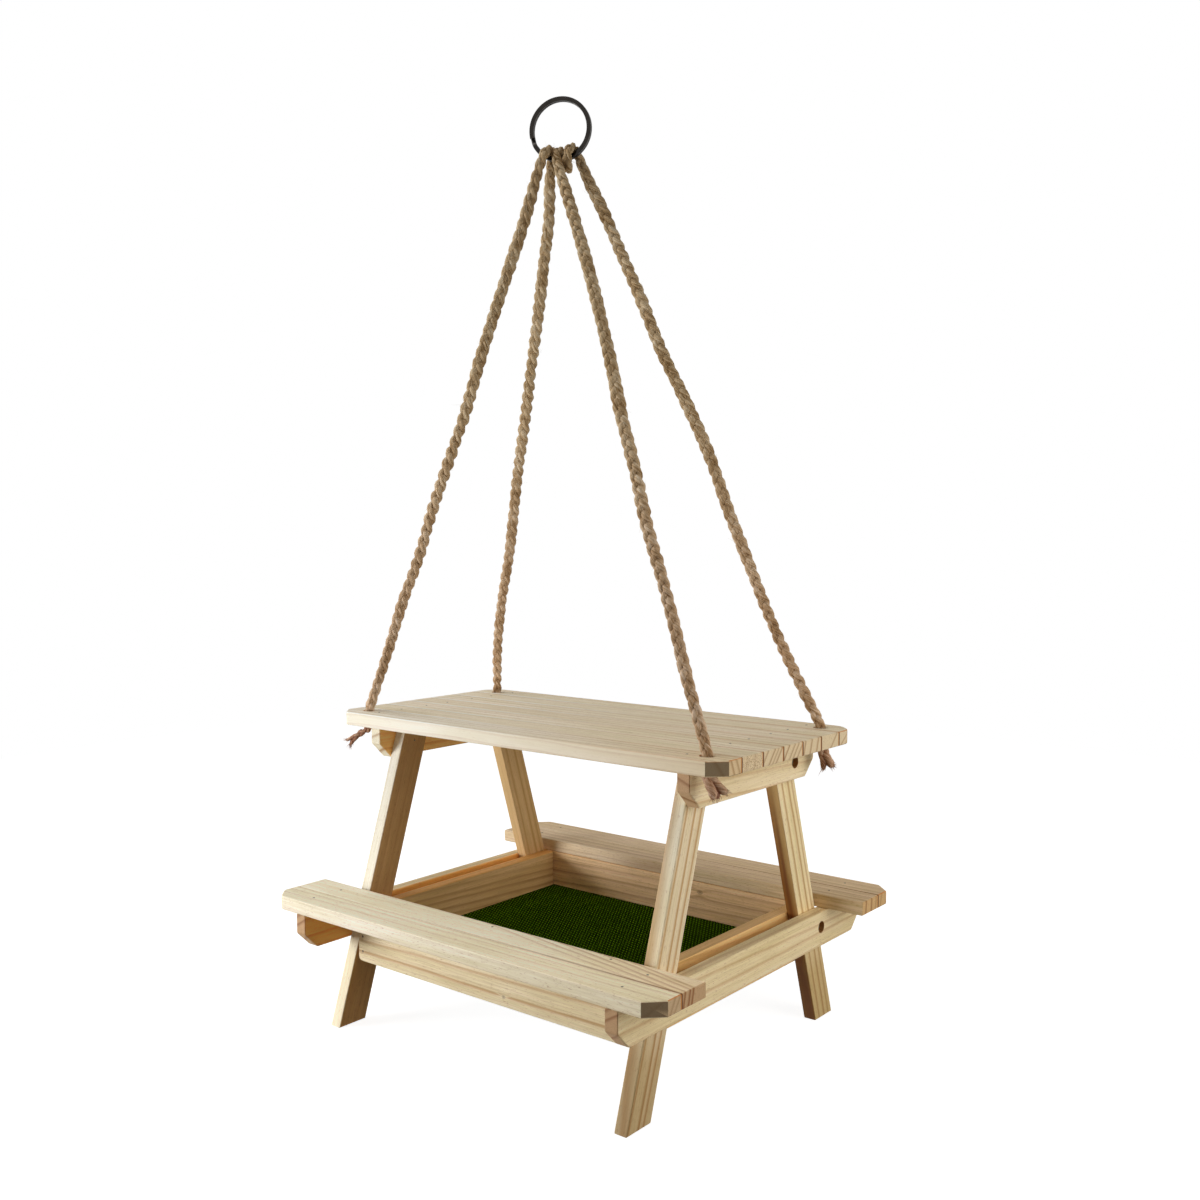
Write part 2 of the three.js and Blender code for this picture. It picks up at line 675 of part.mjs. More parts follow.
const leftOver = overRoute(LEFT_OVER, STRANDS.front_left, STRANDS.back_left);
const rightOver = overRoute(RIGHT_OVER, STRANDS.front_right, STRANDS.back_right);
const overRings = {};
for (const [name, route] of Object.entries({ rope_left_bight: leftOver, rope_right_turn: rightOver })) {
  const steps = route.points.length - 1;
  addMesh(hangingRopes, name, sweep(ropeSection, route, steps), hemp);
  overRings[name] = sectionRings(ropeSection, route, steps);
}
const turnRings = overRings.rope_right_turn;
const turnGap = leastGap(turnRings, turnRings, RIGHT_TURN_STEPS / 2);
const besideGap = leastGap(turnRings, overRings.rope_left_bight, 0);
console.log(`least gap between the turns of the right rope: ${turnGap.toFixed(2)} mm`);
console.log(`least gap between the two ropes on the ring: ${besideGap.toFixed(2)} mm`);

// Collars of set glue that hold the ropes in their holes
function glueCollar() {
  const inner = ropeRadius + FIT;
  const outer = ROPE_HOLE_D / 2 - SEAT_GAP;
  const half = GLUE_LENGTH / 2;
  return new THREE.LatheGeometry([
    new THREE.Vector2(inner, -half), new THREE.Vector2(outer, -half),
    new THREE.Vector2(outer, half), new THREE.Vector2(inner, half), new THREE.Vector2(inner, -half),
  ], 2 * HOLE_SEGMENTS).rotateX(Math.PI / 2);
}

for (const [place, strand] of Object.entries(STRANDS)) {
  const collar = addMesh(hangingRopes, `rope_glue_${place}`, glueCollar(), clearGlue);
  collar.position.set(strand.side * holeX, strand.face * holeY, topUnderside + BOARD_T / 2);
}

export default model;
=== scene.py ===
# %% [markdown]
# # A hanging feeder made as a small picnic table
#
# The object is a ground feeder for birds: a pine table with two benches, a tray with a woven mesh floor
# between them, and two plaited cords that meet on a split ring.
#
# The boards come from the CAD model and keep its sizes. This lesson gives them a pine finish, then
# makes what a CAD model leaves plain: the plait of the cords, the weave of the mesh, the nails and
# the cross recesses of the screws. Lengths are in metres, or in millimetres where a cell says so.

# %% Load the frame
import math

import bpy
import numpy as np
from mathutils import Matrix, Vector


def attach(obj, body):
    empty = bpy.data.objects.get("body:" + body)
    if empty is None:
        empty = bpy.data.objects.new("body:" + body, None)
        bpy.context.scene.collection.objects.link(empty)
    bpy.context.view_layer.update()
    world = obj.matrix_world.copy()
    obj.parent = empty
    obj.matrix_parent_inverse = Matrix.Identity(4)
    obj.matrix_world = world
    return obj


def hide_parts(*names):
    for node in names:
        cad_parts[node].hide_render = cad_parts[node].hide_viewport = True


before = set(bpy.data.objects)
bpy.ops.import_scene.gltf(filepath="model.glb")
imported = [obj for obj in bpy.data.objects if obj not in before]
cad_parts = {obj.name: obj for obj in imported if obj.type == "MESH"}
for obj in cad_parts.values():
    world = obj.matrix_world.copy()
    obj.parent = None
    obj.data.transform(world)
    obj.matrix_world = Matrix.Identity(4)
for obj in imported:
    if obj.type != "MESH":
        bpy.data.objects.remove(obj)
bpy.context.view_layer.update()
MM = 0.001

# %% [markdown]
# ## The camera
#
# The photograph was taken a little from the right and a little from above. A camera in Blender looks
# along its own -Z, so its three axes are worked out from the two angles and put into one matrix.

# %% The camera
AZIMUTH = math.radians(38.73)
PITCH = math.radians(3.11)
CAMERA_PLACE = Vector((0.49406, -0.60062, 0.30942))
LENS, SENSOR = 37.26, 36

level = Vector((math.sin(AZIMUTH), -math.cos(AZIMUTH), 0))
to_camera = level * math.cos(PITCH) + Vector((0, 0, math.sin(PITCH)))
to_right = Vector((math.cos(AZIMUTH), math.sin(AZIMUTH), 0))
to_top = to_camera.cross(to_right)

camera_data = bpy.data.cameras.new("camera")
camera_data.lens = LENS
camera_data.sensor_width = SENSOR
camera_data.clip_start = 0.01
camera = bpy.data.objects.new("camera", camera_data)
turned = Matrix((to_right, to_top, to_camera)).transposed().to_4x4()
camera.matrix_world = Matrix.Translation(CAMERA_PLACE) @ turned
bpy.context.scene.collection.objects.link(camera)
bpy.context.scene.camera = camera
print("camera at", tuple(round(value, 3) for value in CAMERA_PLACE))

# %% [markdown]
# ## Where the cords run
#
# There are two cords. Each comes up through a hole at the front, passes over the ring, and goes down
# through a hole at the back, so it is one curve from tail to tail. It is listed as the points that the
# CAD model uses: tail, hole, the strand up to the ring, and the turns over the ring, which lie round
# the line on which the ring swings.

# %% Sizes that the cords share with the model
ROPE_D = 5.6 * MM
ROPE_GAP = 0.3 * MM
TABLE_HEIGHT = 192.3 * MM
TOP_UNDERSIDE = 183.8 * MM
HOLE_X = 133.4 * MM
HOLE_Y = 61.0 * MM
RING_CENTRE = np.array([-19.2, 0, 560.4]) * MM
RING_OD = 40 * MM
RING_RADIAL = 2.8 * MM
RING_AXIAL = 1.5 * MM
RING_COIL_GAP = 0.45 * MM
RING_EDGE = 0.45 * MM
RING_TURN = math.radians(24)
SWING_CLEARANCE = 0.35 * MM
BESIDE_SHARE = 0.55

ring_along = np.array([math.cos(RING_TURN), math.sin(RING_TURN), 0])
ring_normal = np.array([math.sin(RING_TURN), -math.cos(RING_TURN), 0])
upward = np.array([0, 0, 1.0])
wire_radius = (RING_OD - RING_RADIAL) / 2
ring_half_axial = RING_AXIAL + RING_COIL_GAP / 2
swing_line = RING_CENTRE - upward * wire_radius
print("the ring swings on a line through", swing_line.round(4))

# %% Places round the ring's lowest steel
def over_ring(places):
    """Points of a cord over the ring, from pairs of mm along the swing line and degrees from the top.

    The reach is how far the steel comes from the swing line beside the cord, and the middle of the cord
    lies that far out, plus the clearance and half its own thickness.
    """
    along, degrees = np.array(places, dtype=float).T
    along = along * MM
    angle = np.radians(degrees)
    beside = np.abs(along) + BESIDE_SHARE * ROPE_D / 2
    rise = wire_radius - np.sqrt(wire_radius ** 2 - beside ** 2)
    reach = np.hypot(rise + RING_RADIAL / 2 - RING_EDGE, ring_half_axial - RING_EDGE) + RING_EDGE
    out = reach + SWING_CLEARANCE + ROPE_D / 2
    return (swing_line + along[:, None] * ring_along + (out * np.sin(angle))[:, None] * ring_normal
            + (out * np.cos(angle))[:, None] * upward)


LEFT_OVER = [(-9.2, 88), (-8.1, 66), (-7.4, 44), (-7, 22), (-6.9, 0), (-7, -25), (-7.3, -50),
             (-7.9, -73)]
turn_share = np.linspace(0, 1, 17)
turn_place = -0.4 + 8 * turn_share + np.sin(np.pi * turn_share)
RIGHT_OVER = ([(-1.6, 73), (-1.5, 48), (-1, 24)] + list(zip(turn_place, -360 * turn_share))
              + [(8.1, -385), (8.9, -410), (9.7, -432), (10.6, -451)])
print("places over the ring:", len(LEFT_OVER), "and", len(RIGHT_OVER))

# %% Strands between the table and the ring
# Each strand: its hole, its sway to the right of a straight line as (share of the way up, mm), and its
# tail below the table top as steps (outward, down) in mm from the middle of the hole.
STRANDS = {
    "front_left": dict(
        hole=(-1, -1), leaves=LEFT_OVER[0],
        sway=[(0.05, -0.2), (0.12, 0), (0.21, -0.5), (0.29, 0.9), (0.38, 0.1), (0.47, 0.8),
              (0.56, 1.6), (0.66, 0.5), (0.74, 0.5), (0.82, 0.8), (0.9, 1.1)],
        tail=[(21.4, 15.4), (17.3, 12.5), (12.6, 9.4), (7.6, 6.6), (3.4, 4.8), (0.9, 2.7)]),
    "back_left": dict(
        hole=(-1, 1), leaves=LEFT_OVER[-1],
        sway=[(0.04, -1.4), (0.1, -3.2), (0.2, -3.4), (0.29, -1.6), (0.38, -1.4), (0.46, -1.3),
              (0.56, -0.1), (0.66, 0.5), (0.75, 1.5), (0.84, 1.7), (0.92, 2)],
        tail=[(4.6, 14), (3.4, 10), (2, 6.4), (0.6, 2.8)]),
    "front_right": dict(
        hole=(1, -1), leaves=RIGHT_OVER[0],
        sway=[(0.05, 0.1), (0.11, -0.4), (0.19, 0), (0.27, -0.3), (0.35, -1.3), (0.44, -0.1),
              (0.53, 0), (0.62, 1.6), (0.72, 2.4), (0.82, 2.3), (0.91, 1.2)],
        tail=[(8, 12.6), (5.8, 9.4), (3.2, 6.2), (1, 2.8)]),
    "back_right": dict(
        hole=(1, 1), leaves=RIGHT_OVER[-1],
        sway=[(0.06, -0.8), (0.13, -2.1), (0.2, -2.3), (0.29, -1.2), (0.38, 0.1), (0.48, 2.7),
              (0.58, 2.2), (0.67, 0.5), (0.76, 1.5), (0.85, 1.2), (0.92, 1.2)],
        tail=[(6.4, 15.6), (4.8, 11.4), (2.6, 7), (0.7, 3)]),
}
SWAY_RIGHT = np.array([0.78, 0.625, 0])


def strand_points(strand):
    """Points of a strand from the tip of its tail up, and the point where it leaves the ring."""
    side, face = strand["hole"]
    hole = np.array([side * HOLE_X, face * HOLE_Y, TABLE_HEIGHT])
    leave = over_ring([strand["leaves"]])[0]
    down = (hole - leave) / np.linalg.norm(hole - leave)
    top = leave + down * (ROPE_D + ROPE_GAP)
    out, drop = np.array(strand["tail"]).T * MM
    below = np.stack([hole[0] + side * out, np.full(len(out), hole[1]), TOP_UNDERSIDE - drop], axis=1)
    through = np.array([[hole[0], hole[1], TOP_UNDERSIDE], hole])
    share, sway = np.array(strand["sway"]).T
    between = hole + share[:, None] * (top - hole) + (sway * MM)[:, None] * SWAY_RIGHT
    ends = np.array([top + down * ROPE_D, top])
    return np.concatenate([below, through, between, ends]), leave + down * ROPE_D


for name, strand in STRANDS.items():
    strand["points"], strand["joins"] = strand_points(strand)
    print(name, "strand has", len(strand["points"]), "points")

# %% [markdown]
# A smooth curve through listed points is a Catmull-Rom curve: between two points it bends so that its
# direction at each of them follows the two neighbours. Spacing its parameter by the square root of
# the distance keeps it from looping where points lie close together.

# %% A smooth curve through points
def smooth_curve(points, per_span=24):
    """Centripetal Catmull-Rom curve, all spans at once.

    Each span is the pyramid of linear blends between its two ends and their outer neighbours; the ends
    of the whole curve are reflected to make the missing neighbours.
    """
    padded = np.concatenate([[2 * points[0] - points[1]], points, [2 * points[-1] - points[-2]]])
    p0, p1, p2, p3 = (padded[i:len(padded) - 3 + i, None, :] for i in range(4))
    step = np.sqrt(np.linalg.norm(np.diff(padded, axis=0), axis=1))
    t1, t2, t3 = step[:-2], step[:-2] + step[1:-1], step[:-2] + step[1:-1] + step[2:]
    t1, t2, t3 = (value[:, None, None] for value in (t1, t2, t3))
    t = t1 + (t2 - t1) * np.linspace(0, 1, per_span, endpoint=False)[None, :, None]

    def blend(first, second, start, stop):
        return first + (second - first) * (t - start) / (stop - start)

    a1, a2, a3 = blend(p0, p1, 0, t1), blend(p1, p2, t1, t2), blend(p2, p3, t2, t3)
    curve = blend(blend(a1, a2, 0, t2), blend(a2, a3, t1, t3), t1, t2)
    return np.concatenate([curve.reshape(-1, 3), points[-1:]])


def even_curve(points, spacing):
    """The same curve with its points the same distance apart, and the length along it at each point."""
    fine = smooth_curve(points)
    length = np.concatenate([[0], np.cumsum(np.linalg.norm(np.diff(fine, axis=0), axis=1))])
    at = np.linspace(0, length[-1], int(round(length[-1] / spacing)) + 1)
    return np.stack([np.interp(at, length, fine[:, axis]) for axis in range(3)], axis=1), at


CORDS = {
    "left": dict(front="front_left", back="back_left", over=LEFT_OVER, over_node="rope_left_bight"),
    "right": dict(front="front_right", back="back_right", over=RIGHT_OVER, over_node="rope_right_turn"),
}
PLAIT_STEP = 0.55 * MM
for name, cord in CORDS.items():
    front, back = STRANDS[cord["front"]], STRANDS[cord["back"]]
    points = np.concatenate([front["points"], [front["joins"]], over_ring(cord["over"]),
                             [back["joins"]], back["points"][::-1]])
    cord["line"], cord["at"] = even_curve(points, PLAIT_STEP)
    cord["cuts"] = [int(np.argmin(np.linalg.norm(cord["line"] - strand["points"][-1], axis=1)))
                    for strand in (front, back)]
    print(f"{name} cord: {cord['at'][-1] / MM:.0f} mm from tip to tip")

# %% [markdown]
# ## The plait
#
# The cord is jute, plaited from three strands as hair is. Seen from its flat side, each strand swings
# from edge to edge, and passes over one neighbour and under the other on the way. Its middle follows
# a figure of eight: once across for every two times up and down.

# %% Helpers for arrays and meshes
def unit(vectors):
    """The same directions, one unit long."""
    return vectors / np.linalg.norm(vectors, axis=-1, keepdims=True)


def square_to(direction, tangent):
    """The direction with its share along the tangent taken off, one unit long."""
    return unit(direction - np.sum(direction * tangent, axis=-1, keepdims=True) * tangent)


def fade_in(value, start, length):
    """0 up to the start, 1 from one length further on, and even between."""
    return np.clip((value - start) / length, 0, 1)


def circles(side, other, count):
    """Corners of a unit circle round each of many places, in the plane of its two directions."""
    around = 2 * np.pi * np.arange(count) / count
    cosine, sine = np.cos(around)[None, :, None], np.sin(around)[None, :, None]
    return cosine * side[:, None, :] + sine * other[:, None, :]


def closed_tubes(count, rings, sides, start=0):
    """Faces of equal closed tubes whose points follow one another: the quads, then all the ends.

    A quad joins a corner to the next one round and to the next ring. The first end is turned round, so
    that both ends face outwards.
    """
    i, j = np.meshgrid(np.arange(rings - 1), np.arange(sides), indexing="ij")
    k = (j + 1) % sides
    quads = np.stack([i * sides + j, i * sides + k, (i + 1) * sides + k, (i + 1) * sides + j], axis=-1)
    starts = start + np.arange(count)[:, None] * rings * sides
    first = starts + np.arange(sides)[::-1]
    last = starts + (rings - 1) * sides + np.arange(sides)
    quads = (quads.reshape(-1, 4) + starts[:, :, None]).reshape(-1, 4)
    return quads.tolist() + first.tolist() + last.tolist()


def new_piece(name, points, faces, smooth=True):
    """A mesh object at the origin from an array of points and a list of faces."""
    mesh = bpy.data.meshes.new(name)
    mesh.from_pydata(points.tolist(), [], faces)
    mesh.update()
    if smooth:
        mesh.polygons.foreach_set("use_smooth", np.ones(len(mesh.polygons), dtype=bool))
    piece = bpy.data.objects.new(name, mesh)
    bpy.context.scene.collection.objects.link(piece)
    return piece


print("helpers ready")

# %% The plait along one cord
PLAIT_PERIOD = 22.5 * MM
PLAIT_SWING = 1.42 * MM
PLAIT_LIFT = 0.98 * MM
YARN_WIDTH = 1.72 * MM
YARN_THICKNESS = 1.5 * MM
YARN_SIDES = 14
YARN_TWIST = 2 * math.pi / (16 * MM)
LUMP_STEPS = 6
LOOSE_END = 9 * MM
TAIL_Z, TAIL_FADE = 178 * MM, 10 * MM
NEAR_RING, RING_FADE = 13 * MM, 12 * MM
FULLER_Z, FULLER_FADE = 200 * MM, 150 * MM
LOW_FULLNESS, MORE_FULLNESS = 0.06, 0.18
ROCK, ROCK_LENGTH, ROCK_FADE = 0.35, 41 * MM, 60 * MM
SLOW_WAVE, QUICK_WAVE = 13 * MM, 5.3 * MM
CREVICE_R, CREVICE_FADE = 1.1 * MM, 1.7 * MM
TAIL_SIZE = {"front_left": 0.66, "back_left": 0.85, "front_right": 1.25, "back_right": 1.1}


def plait(line, at, phase, seed, tail_sizes):
    """Three yarns of a plait as rings of points, with what each point is worth to the jute finish.

    A yarn's middle lies swing*sin(a) to the side and lift*sin(2a) off the flat, where a grows by a
    whole turn for each period and the three yarns are a third of a turn apart. The flat side follows
    the ring's direction, and rocks slowly to either hand as a loose plait does. Each ring is an ellipse
    whose radius ripples with a twist. The cord grows fuller on its way up, but stays plain near the
    ring, which has to swing past it. At the two tails it is scaled by the sizes given, and the yarns
    run straight and open out.
    """
    rng = np.random.default_rng(seed)
    from_end = np.minimum(at, at[-1] - at)
    loose = 1 - fade_in(from_end, 0, LOOSE_END)
    in_tail = 1 - fade_in(line[:, 2], TAIL_Z, TAIL_FADE)
    off_ring = fade_in(np.linalg.norm(line - swing_line, axis=1), NEAR_RING, RING_FADE)
    fuller = LOW_FULLNESS + MORE_FULLNESS * fade_in(line[:, 2], FULLER_Z, FULLER_FADE)
    full = (1 + fuller * off_ring) * (1 - in_tail * (1 - np.where(at < at[-1] / 2, *tail_sizes)))
    uneven = 1 + 0.05 * np.sin(at / SLOW_WAVE + 2 * phase) + 0.04 * np.sin(at / QUICK_WAVE + phase)

    tangent = unit(np.gradient(line, axis=0))
    side = square_to(np.broadcast_to(ring_along, line.shape), tangent)
    normal = np.cross(tangent, side)
    rock = ROCK * np.sin(at / ROCK_LENGTH + phase) * fade_in(from_end, 0, ROCK_FADE)
    cosine, sine = np.cos(rock)[:, None], np.sin(rock)[:, None]
    side, normal = side * cosine + normal * sine, normal * cosine - side * sine

    plaited = np.clip(at, LOOSE_END, at[-1] - LOOSE_END)
    around = 2 * np.pi * np.arange(YARN_SIDES) / YARN_SIDES
    twist = around[None, :] + (YARN_TWIST * at)[:, None]
    steps = np.arange(len(at)) / LUMP_STEPS
    low = steps.astype(int)
    blend = (steps - low)[:, None]
    rings, fibre, recess = [], [], []
    for yarn in range(3):
        angle = 2 * np.pi * (plaited / PLAIT_PERIOD + yarn / 3) + phase
        swing = PLAIT_SWING * full * (1 + 1.3 * loose ** 1.5) * np.sin(angle)
        lift = PLAIT_LIFT * full * (1 + 0.8 * loose ** 1.5) * np.sin(2 * angle)
        middle = line + swing[:, None] * side + lift[:, None] * normal
        yarn_tangent = unit(np.gradient(middle, axis=0))
        yarn_side = square_to(side, yarn_tangent)
        yarn_normal = np.cross(yarn_tangent, yarn_side)
        lumps = rng.normal(0, 0.05, (len(at) // LUMP_STEPS + 2, YARN_SIDES))
        lump = lumps[low] * (1 - blend) + lumps[low + 1] * blend
        radius = (full * uneven * (1 - 0.1 * loose))[:, None] * (1 + 0.045 * np.cos(5 * twist) + lump)
        ring = (middle[:, None, :]
                + (YARN_WIDTH * radius * np.cos(around))[..., None] * yarn_side[:, None, :]
                + (YARN_THICKNESS * radius * np.sin(around))[..., None] * yarn_normal[:, None, :])
        rings.append(ring)
        recess.append(fade_in(np.linalg.norm(ring - line[:, None, :], axis=2), CREVICE_R, CREVICE_FADE))
        length = np.broadcast_to(at[:, None] + 0.7 * yarn, twist.shape)
        fibre.append(np.stack([np.cos(twist), np.sin(twist), length / (3 * MM)], axis=-1))
    return np.array(rings), np.array(fibre), np.array(recess)


for index, (name, cord) in enumerate(CORDS.items()):
    tail_sizes = (TAIL_SIZE[cord["front"]], TAIL_SIZE[cord["back"]])
    made = plait(cord["line"], cord["at"], 0.9 * index, 11 + index, tail_sizes)
    cord["rings"], cord["fibre"], cord["recess"] = made
    print(name, "plait:", cord["rings"].shape[0] * cord["rings"].shape[1], "rings")

# %% Cut the plait into the pieces of the model
TIP_RINGS = 6


def plait_piece(name, cord, first, last, round_first=False, round_last=False):
    """One stretch of the plait as a closed mesh, with the finish's numbers on its points.

    Where the cord ends in a tail, the last rings shrink towards their middle, which rounds the tip.
    """
    rings = cord["rings"][:, first:last + 1].copy()
    count = rings.shape[1]
    taper = np.ones(count)
    rounded = np.sqrt(1 - (1 - np.arange(TIP_RINGS) / TIP_RINGS) ** 2).clip(0.12)
    if round_first:
        taper[:TIP_RINGS] = rounded
    if round_last:
        taper[-TIP_RINGS:] = rounded[::-1]
    middle = rings.mean(axis=2, keepdims=True)
    rings = middle + (rings - middle) * taper[None, :, None, None]
    faces = []
    for yarn in range(3):
        faces += closed_tubes(1, count, YARN_SIDES, start=yarn * count * YARN_SIDES)
    piece = new_piece(name, rings.reshape(-1, 3), faces)
    for field, kind, key in (("fibre", "FLOAT_VECTOR", "vector"), ("recess", "FLOAT", "value")):
        layer = piece.data.attributes.new(field, kind, "POINT")
        layer.data.foreach_set(key, cord[field][:, first:last + 1].astype(np.float32).ravel())
    return piece


jute_pieces = []
for cord_name, cord in CORDS.items():
    low, high = cord["cuts"]
    last = len(cord["at"]) - 1
    cord["pieces"] = {
        "front": plait_piece(f"cord_{cord['front']}", cord, 0, low, round_first=True),
        "over": plait_piece(f"cord_{cord_name}_over_ring", cord, low, high),
        "back": plait_piece(f"cord_{cord['back']}", cord, high, last, round_last=True),
    }
    jute_pieces += cord["pieces"].values()
for piece in jute_pieces:
    print(piece.name, len(piece.data.polygons), "faces")

# %% [markdown]
# ## Loose fibres
#
# Jute is hairy. A hair is a thin three-sided spike that leaves the surface, leans along the cord and
# bends. Hundreds of them are computed at once: the first axis of the arrays is the hair, the second
# the place along it. At the tails the fibres are thicker and spread like a brush.

# %% Hairs and frayed ends
def spikes(name, roots, directions, bends, lengths, radius, steps=5):
    """Many curved spikes as one mesh, thinning to the tip: root + length * (t*direction + t*t*bend)."""
    t = np.linspace(0, 1, steps)
    middle = (roots[:, None, :] + (t * lengths[:, None])[..., None] * directions[:, None, :]
              + (t ** 2 * lengths[:, None])[..., None] * bends[:, None, :])
    side = square_to(np.cross(directions, upward) + 1e-6, directions)
    thick = radius[:, None] * (1 - 0.8 * t)[None, :]
    rings = (middle[:, :, None, :]
             + thick[:, :, None, None] * circles(side, np.cross(directions, side), 3)[:, None, :, :])
    return new_piece(name, rings.reshape(-1, 3), closed_tubes(len(roots), steps, 3))


def hairs(name, cord, first, last, count, seed):
    """Hairs from random points of a stretch of plait, out from its middle line and along it."""
    rng = np.random.default_rng(seed)
    ring = rng.integers(first, last, count)
    yarn = rng.integers(0, 3, count)
    corner = rng.integers(0, YARN_SIDES, count)
    roots = cord["rings"][yarn, ring, corner]
    outward = unit(roots - cord["line"][ring])
    tangent = unit(cord["line"][np.minimum(ring + 1, len(cord["line"]) - 1)] - cord["line"][ring - 1])
    along = tangent * rng.choice([-1, 1], count)[:, None]
    lean = rng.uniform(0.4, 2.2, count)[:, None]
    directions = unit(outward + lean * along + rng.normal(0, 0.35, (count, 3)))
    bends = 0.55 * rng.normal(0, 0.5, (count, 3)) - 0.25 * outward
    lengths = rng.gamma(2.2, 1.0, count).clip(0.8, 5.5) * MM
    radius = rng.uniform(0.03, 0.065, count) * MM
    return spikes(name, roots - 0.1 * MM * outward, directions, bends, lengths, radius)


def frayed_end(name, cord, at_start, count, seed):
    """Short, thick ends of the three yarns' fibres, spread out past the tip."""
    rng = np.random.default_rng(seed)
    last = len(cord["at"]) - 2
    ring = np.where(at_start, rng.integers(1, 9, count), last - rng.integers(1, 9, count))
    yarn = rng.integers(0, 3, count)
    rings = cord["rings"][yarn, ring]
    middle = rings.mean(axis=1)
    corner = rings[np.arange(count), rng.integers(0, YARN_SIDES, count)]
    roots = middle + (corner - middle) * rng.uniform(0.1, 0.85, (count, 1))
    line = cord["line"]
    onward = unit(line[0] - line[8] if at_start else line[-1] - line[-9])
    outward = unit(middle - line[ring])
    directions = unit(onward + 0.45 * outward + rng.normal(0, 0.2, (count, 3)))
    bends = 0.25 * rng.normal(0, 0.5, (count, 3)) + 0.2 * outward
    lengths = rng.gamma(3.0, 0.8, count).clip(1.0, 4.2) * MM
    radius = rng.uniform(0.1, 0.26, count) * MM
    return spikes(name, roots, directions, bends, lengths, radius)


STRAND_HAIRS, RING_HAIRS, FRAY_FIBRES = 420, 110, 120
BARE_TIP = 20
hair_pieces = []
for index, (cord_name, cord) in enumerate(CORDS.items()):
    low, high = cord["cuts"]
    last = len(cord["at"]) - 1
    cord["hairs"] = {
        "front": [hairs(f"hairs_{cord['front']}", cord, BARE_TIP, low, STRAND_HAIRS, 31 + index),
                  frayed_end(f"fray_{cord['front']}", cord, True, FRAY_FIBRES, 41 + index)],
        "over": [hairs(f"hairs_{cord_name}_over_ring", cord, low, high, RING_HAIRS, 51 + index)],
        "back": [hairs(f"hairs_{cord['back']}", cord, high, last - BARE_TIP, STRAND_HAIRS, 61 + index),
                 frayed_end(f"fray_{cord['back']}", cord, False, FRAY_FIBRES, 71 + index)],
    }
    for group in cord["hairs"].values():
        hair_pieces += group
print("hair and fray pieces:", len(hair_pieces))

# %% [markdown]
# The cords are held taut by whatever holds the ring. For each strand, the length from its hole to the
# ring is printed and the CAD model's strand is hidden; then all the jute goes with the table.

for cord_name, cord in CORDS.items():
    low, high = cord["cuts"]
    stretches = {"front": cord["line"][:low + 1], "back": cord["line"][high:][::-1]}
    for end, path in stretches.items():
        strand = STRANDS[cord[end]]
        side, face = strand["hole"]
        pieces = list(cord["hairs"][end])
        if end == "front":
            pieces += [cord["pieces"]["over"]] + cord["hairs"]["over"]
        length = float(np.linalg.norm(np.diff(path, axis=0), axis=1).sum())
        side * HOLE_X
        face * HOLE_Y
        [tuple(point) for point in path[::10].tolist() + path[-1:].tolist()]
        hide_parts(f"rope_{cord[end]}")
        print(f"{cord[end]}: {length / MM:.1f} mm")
    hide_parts(cord["over_node"])
for piece in jute_pieces + hair_pieces:
    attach(piece, "table")

# %% [markdown]
# ## Shader maths as Python
#
# A material is a net of nodes. To write it as formulas, one small class wraps a socket and gives it
# the usual operators, so `1 - mask` adds a Math node by itself. A wrapped socket knows its net, so
# most helpers need not be told which one they add to.

# %% A socket with operators
class Wire:
    """A value in a material's node tree. Arithmetic on it adds Math nodes."""

    def __init__(self, tree, socket):
        self.tree = tree
        self.socket = socket

    def maths(self, operation, *values):
        inputs = dict(enumerate([self, *values]))
        return add_node(self.tree, "ShaderNodeMath", dict(operation=operation), inputs)

    def __add__(self, other):
        return self.maths("ADD", other)

    def __sub__(self, other):
        return self.maths("SUBTRACT", other)

    def __rsub__(self, other):
        return add_node(self.tree, "ShaderNodeMath", dict(operation="SUBTRACT"), {0: other, 1: self})

    def __mul__(self, other):
        return self.maths("MULTIPLY", other)

    def __truediv__(self, other):
        return self.maths("DIVIDE", other)

    def __pow__(self, other):
        return self.maths("POWER", other)

    def step(self, low, high):
        """0 below low and 1 above high, with a smooth rise between; high below low turns it round."""
        values = {0: self, 1: low, 2: high} if low < high else {0: self, 1: high, 2: low}
        mask = add_node(self.tree, "ShaderNodeMapRange", dict(interpolation_type="SMOOTHSTEP"), values)
        return mask if low < high else 1 - mask


def add_node(tree, kind, settings=None, values=None, output=0):
    """Adds a node, then its settings, then the values or links of its inputs; gives one output."""
    node = tree.nodes.new(kind)
    for name, value in (settings or {}).items():
        if name == "stops":
            elements = node.color_ramp.elements
            while len(elements) < len(value):
                elements.new(0.5)
            for element, (place, colour) in zip(elements, value):
                element.position = place
                element.color = (*colour, 1)
        else:
            setattr(node, name, value)
    for name, value in (values or {}).items():
        if isinstance(value, Wire):
            tree.links.new(value.socket, node.inputs[name])
        else:
            target = node.inputs[name]
            needs_alpha = target.type == "RGBA" and len(value) == 3
            target.default_value = (*value, 1) if needs_alpha else value
    return Wire(tree, node.outputs[output])


print("shader maths ready")

# %% Sums of places and colours
WHITE = (1.0, 1.0, 1.0)


def srgb(red, green, blue):
    """A colour as it looks on screen, 0 to 255, turned into the linear values that a shader uses."""
    share = np.array([red, green, blue]) / 255
    return tuple(np.where(share <= 0.04045, share / 12.92, ((share + 0.055) / 1.055) ** 2.4).tolist())


def mix(factor, first, second, blend="MIX"):
    """Two colours mixed by a factor."""
    tree = next(value.tree for value in (factor, first, second) if isinstance(value, Wire))
    settings = dict(data_type="RGBA", blend_type=blend)
    return add_node(tree, "ShaderNodeMix", settings, {0: factor, 6: first, 7: second}, 2)


def multiplied(colour, tint):
    return mix(1.0, colour, tint, "MULTIPLY")


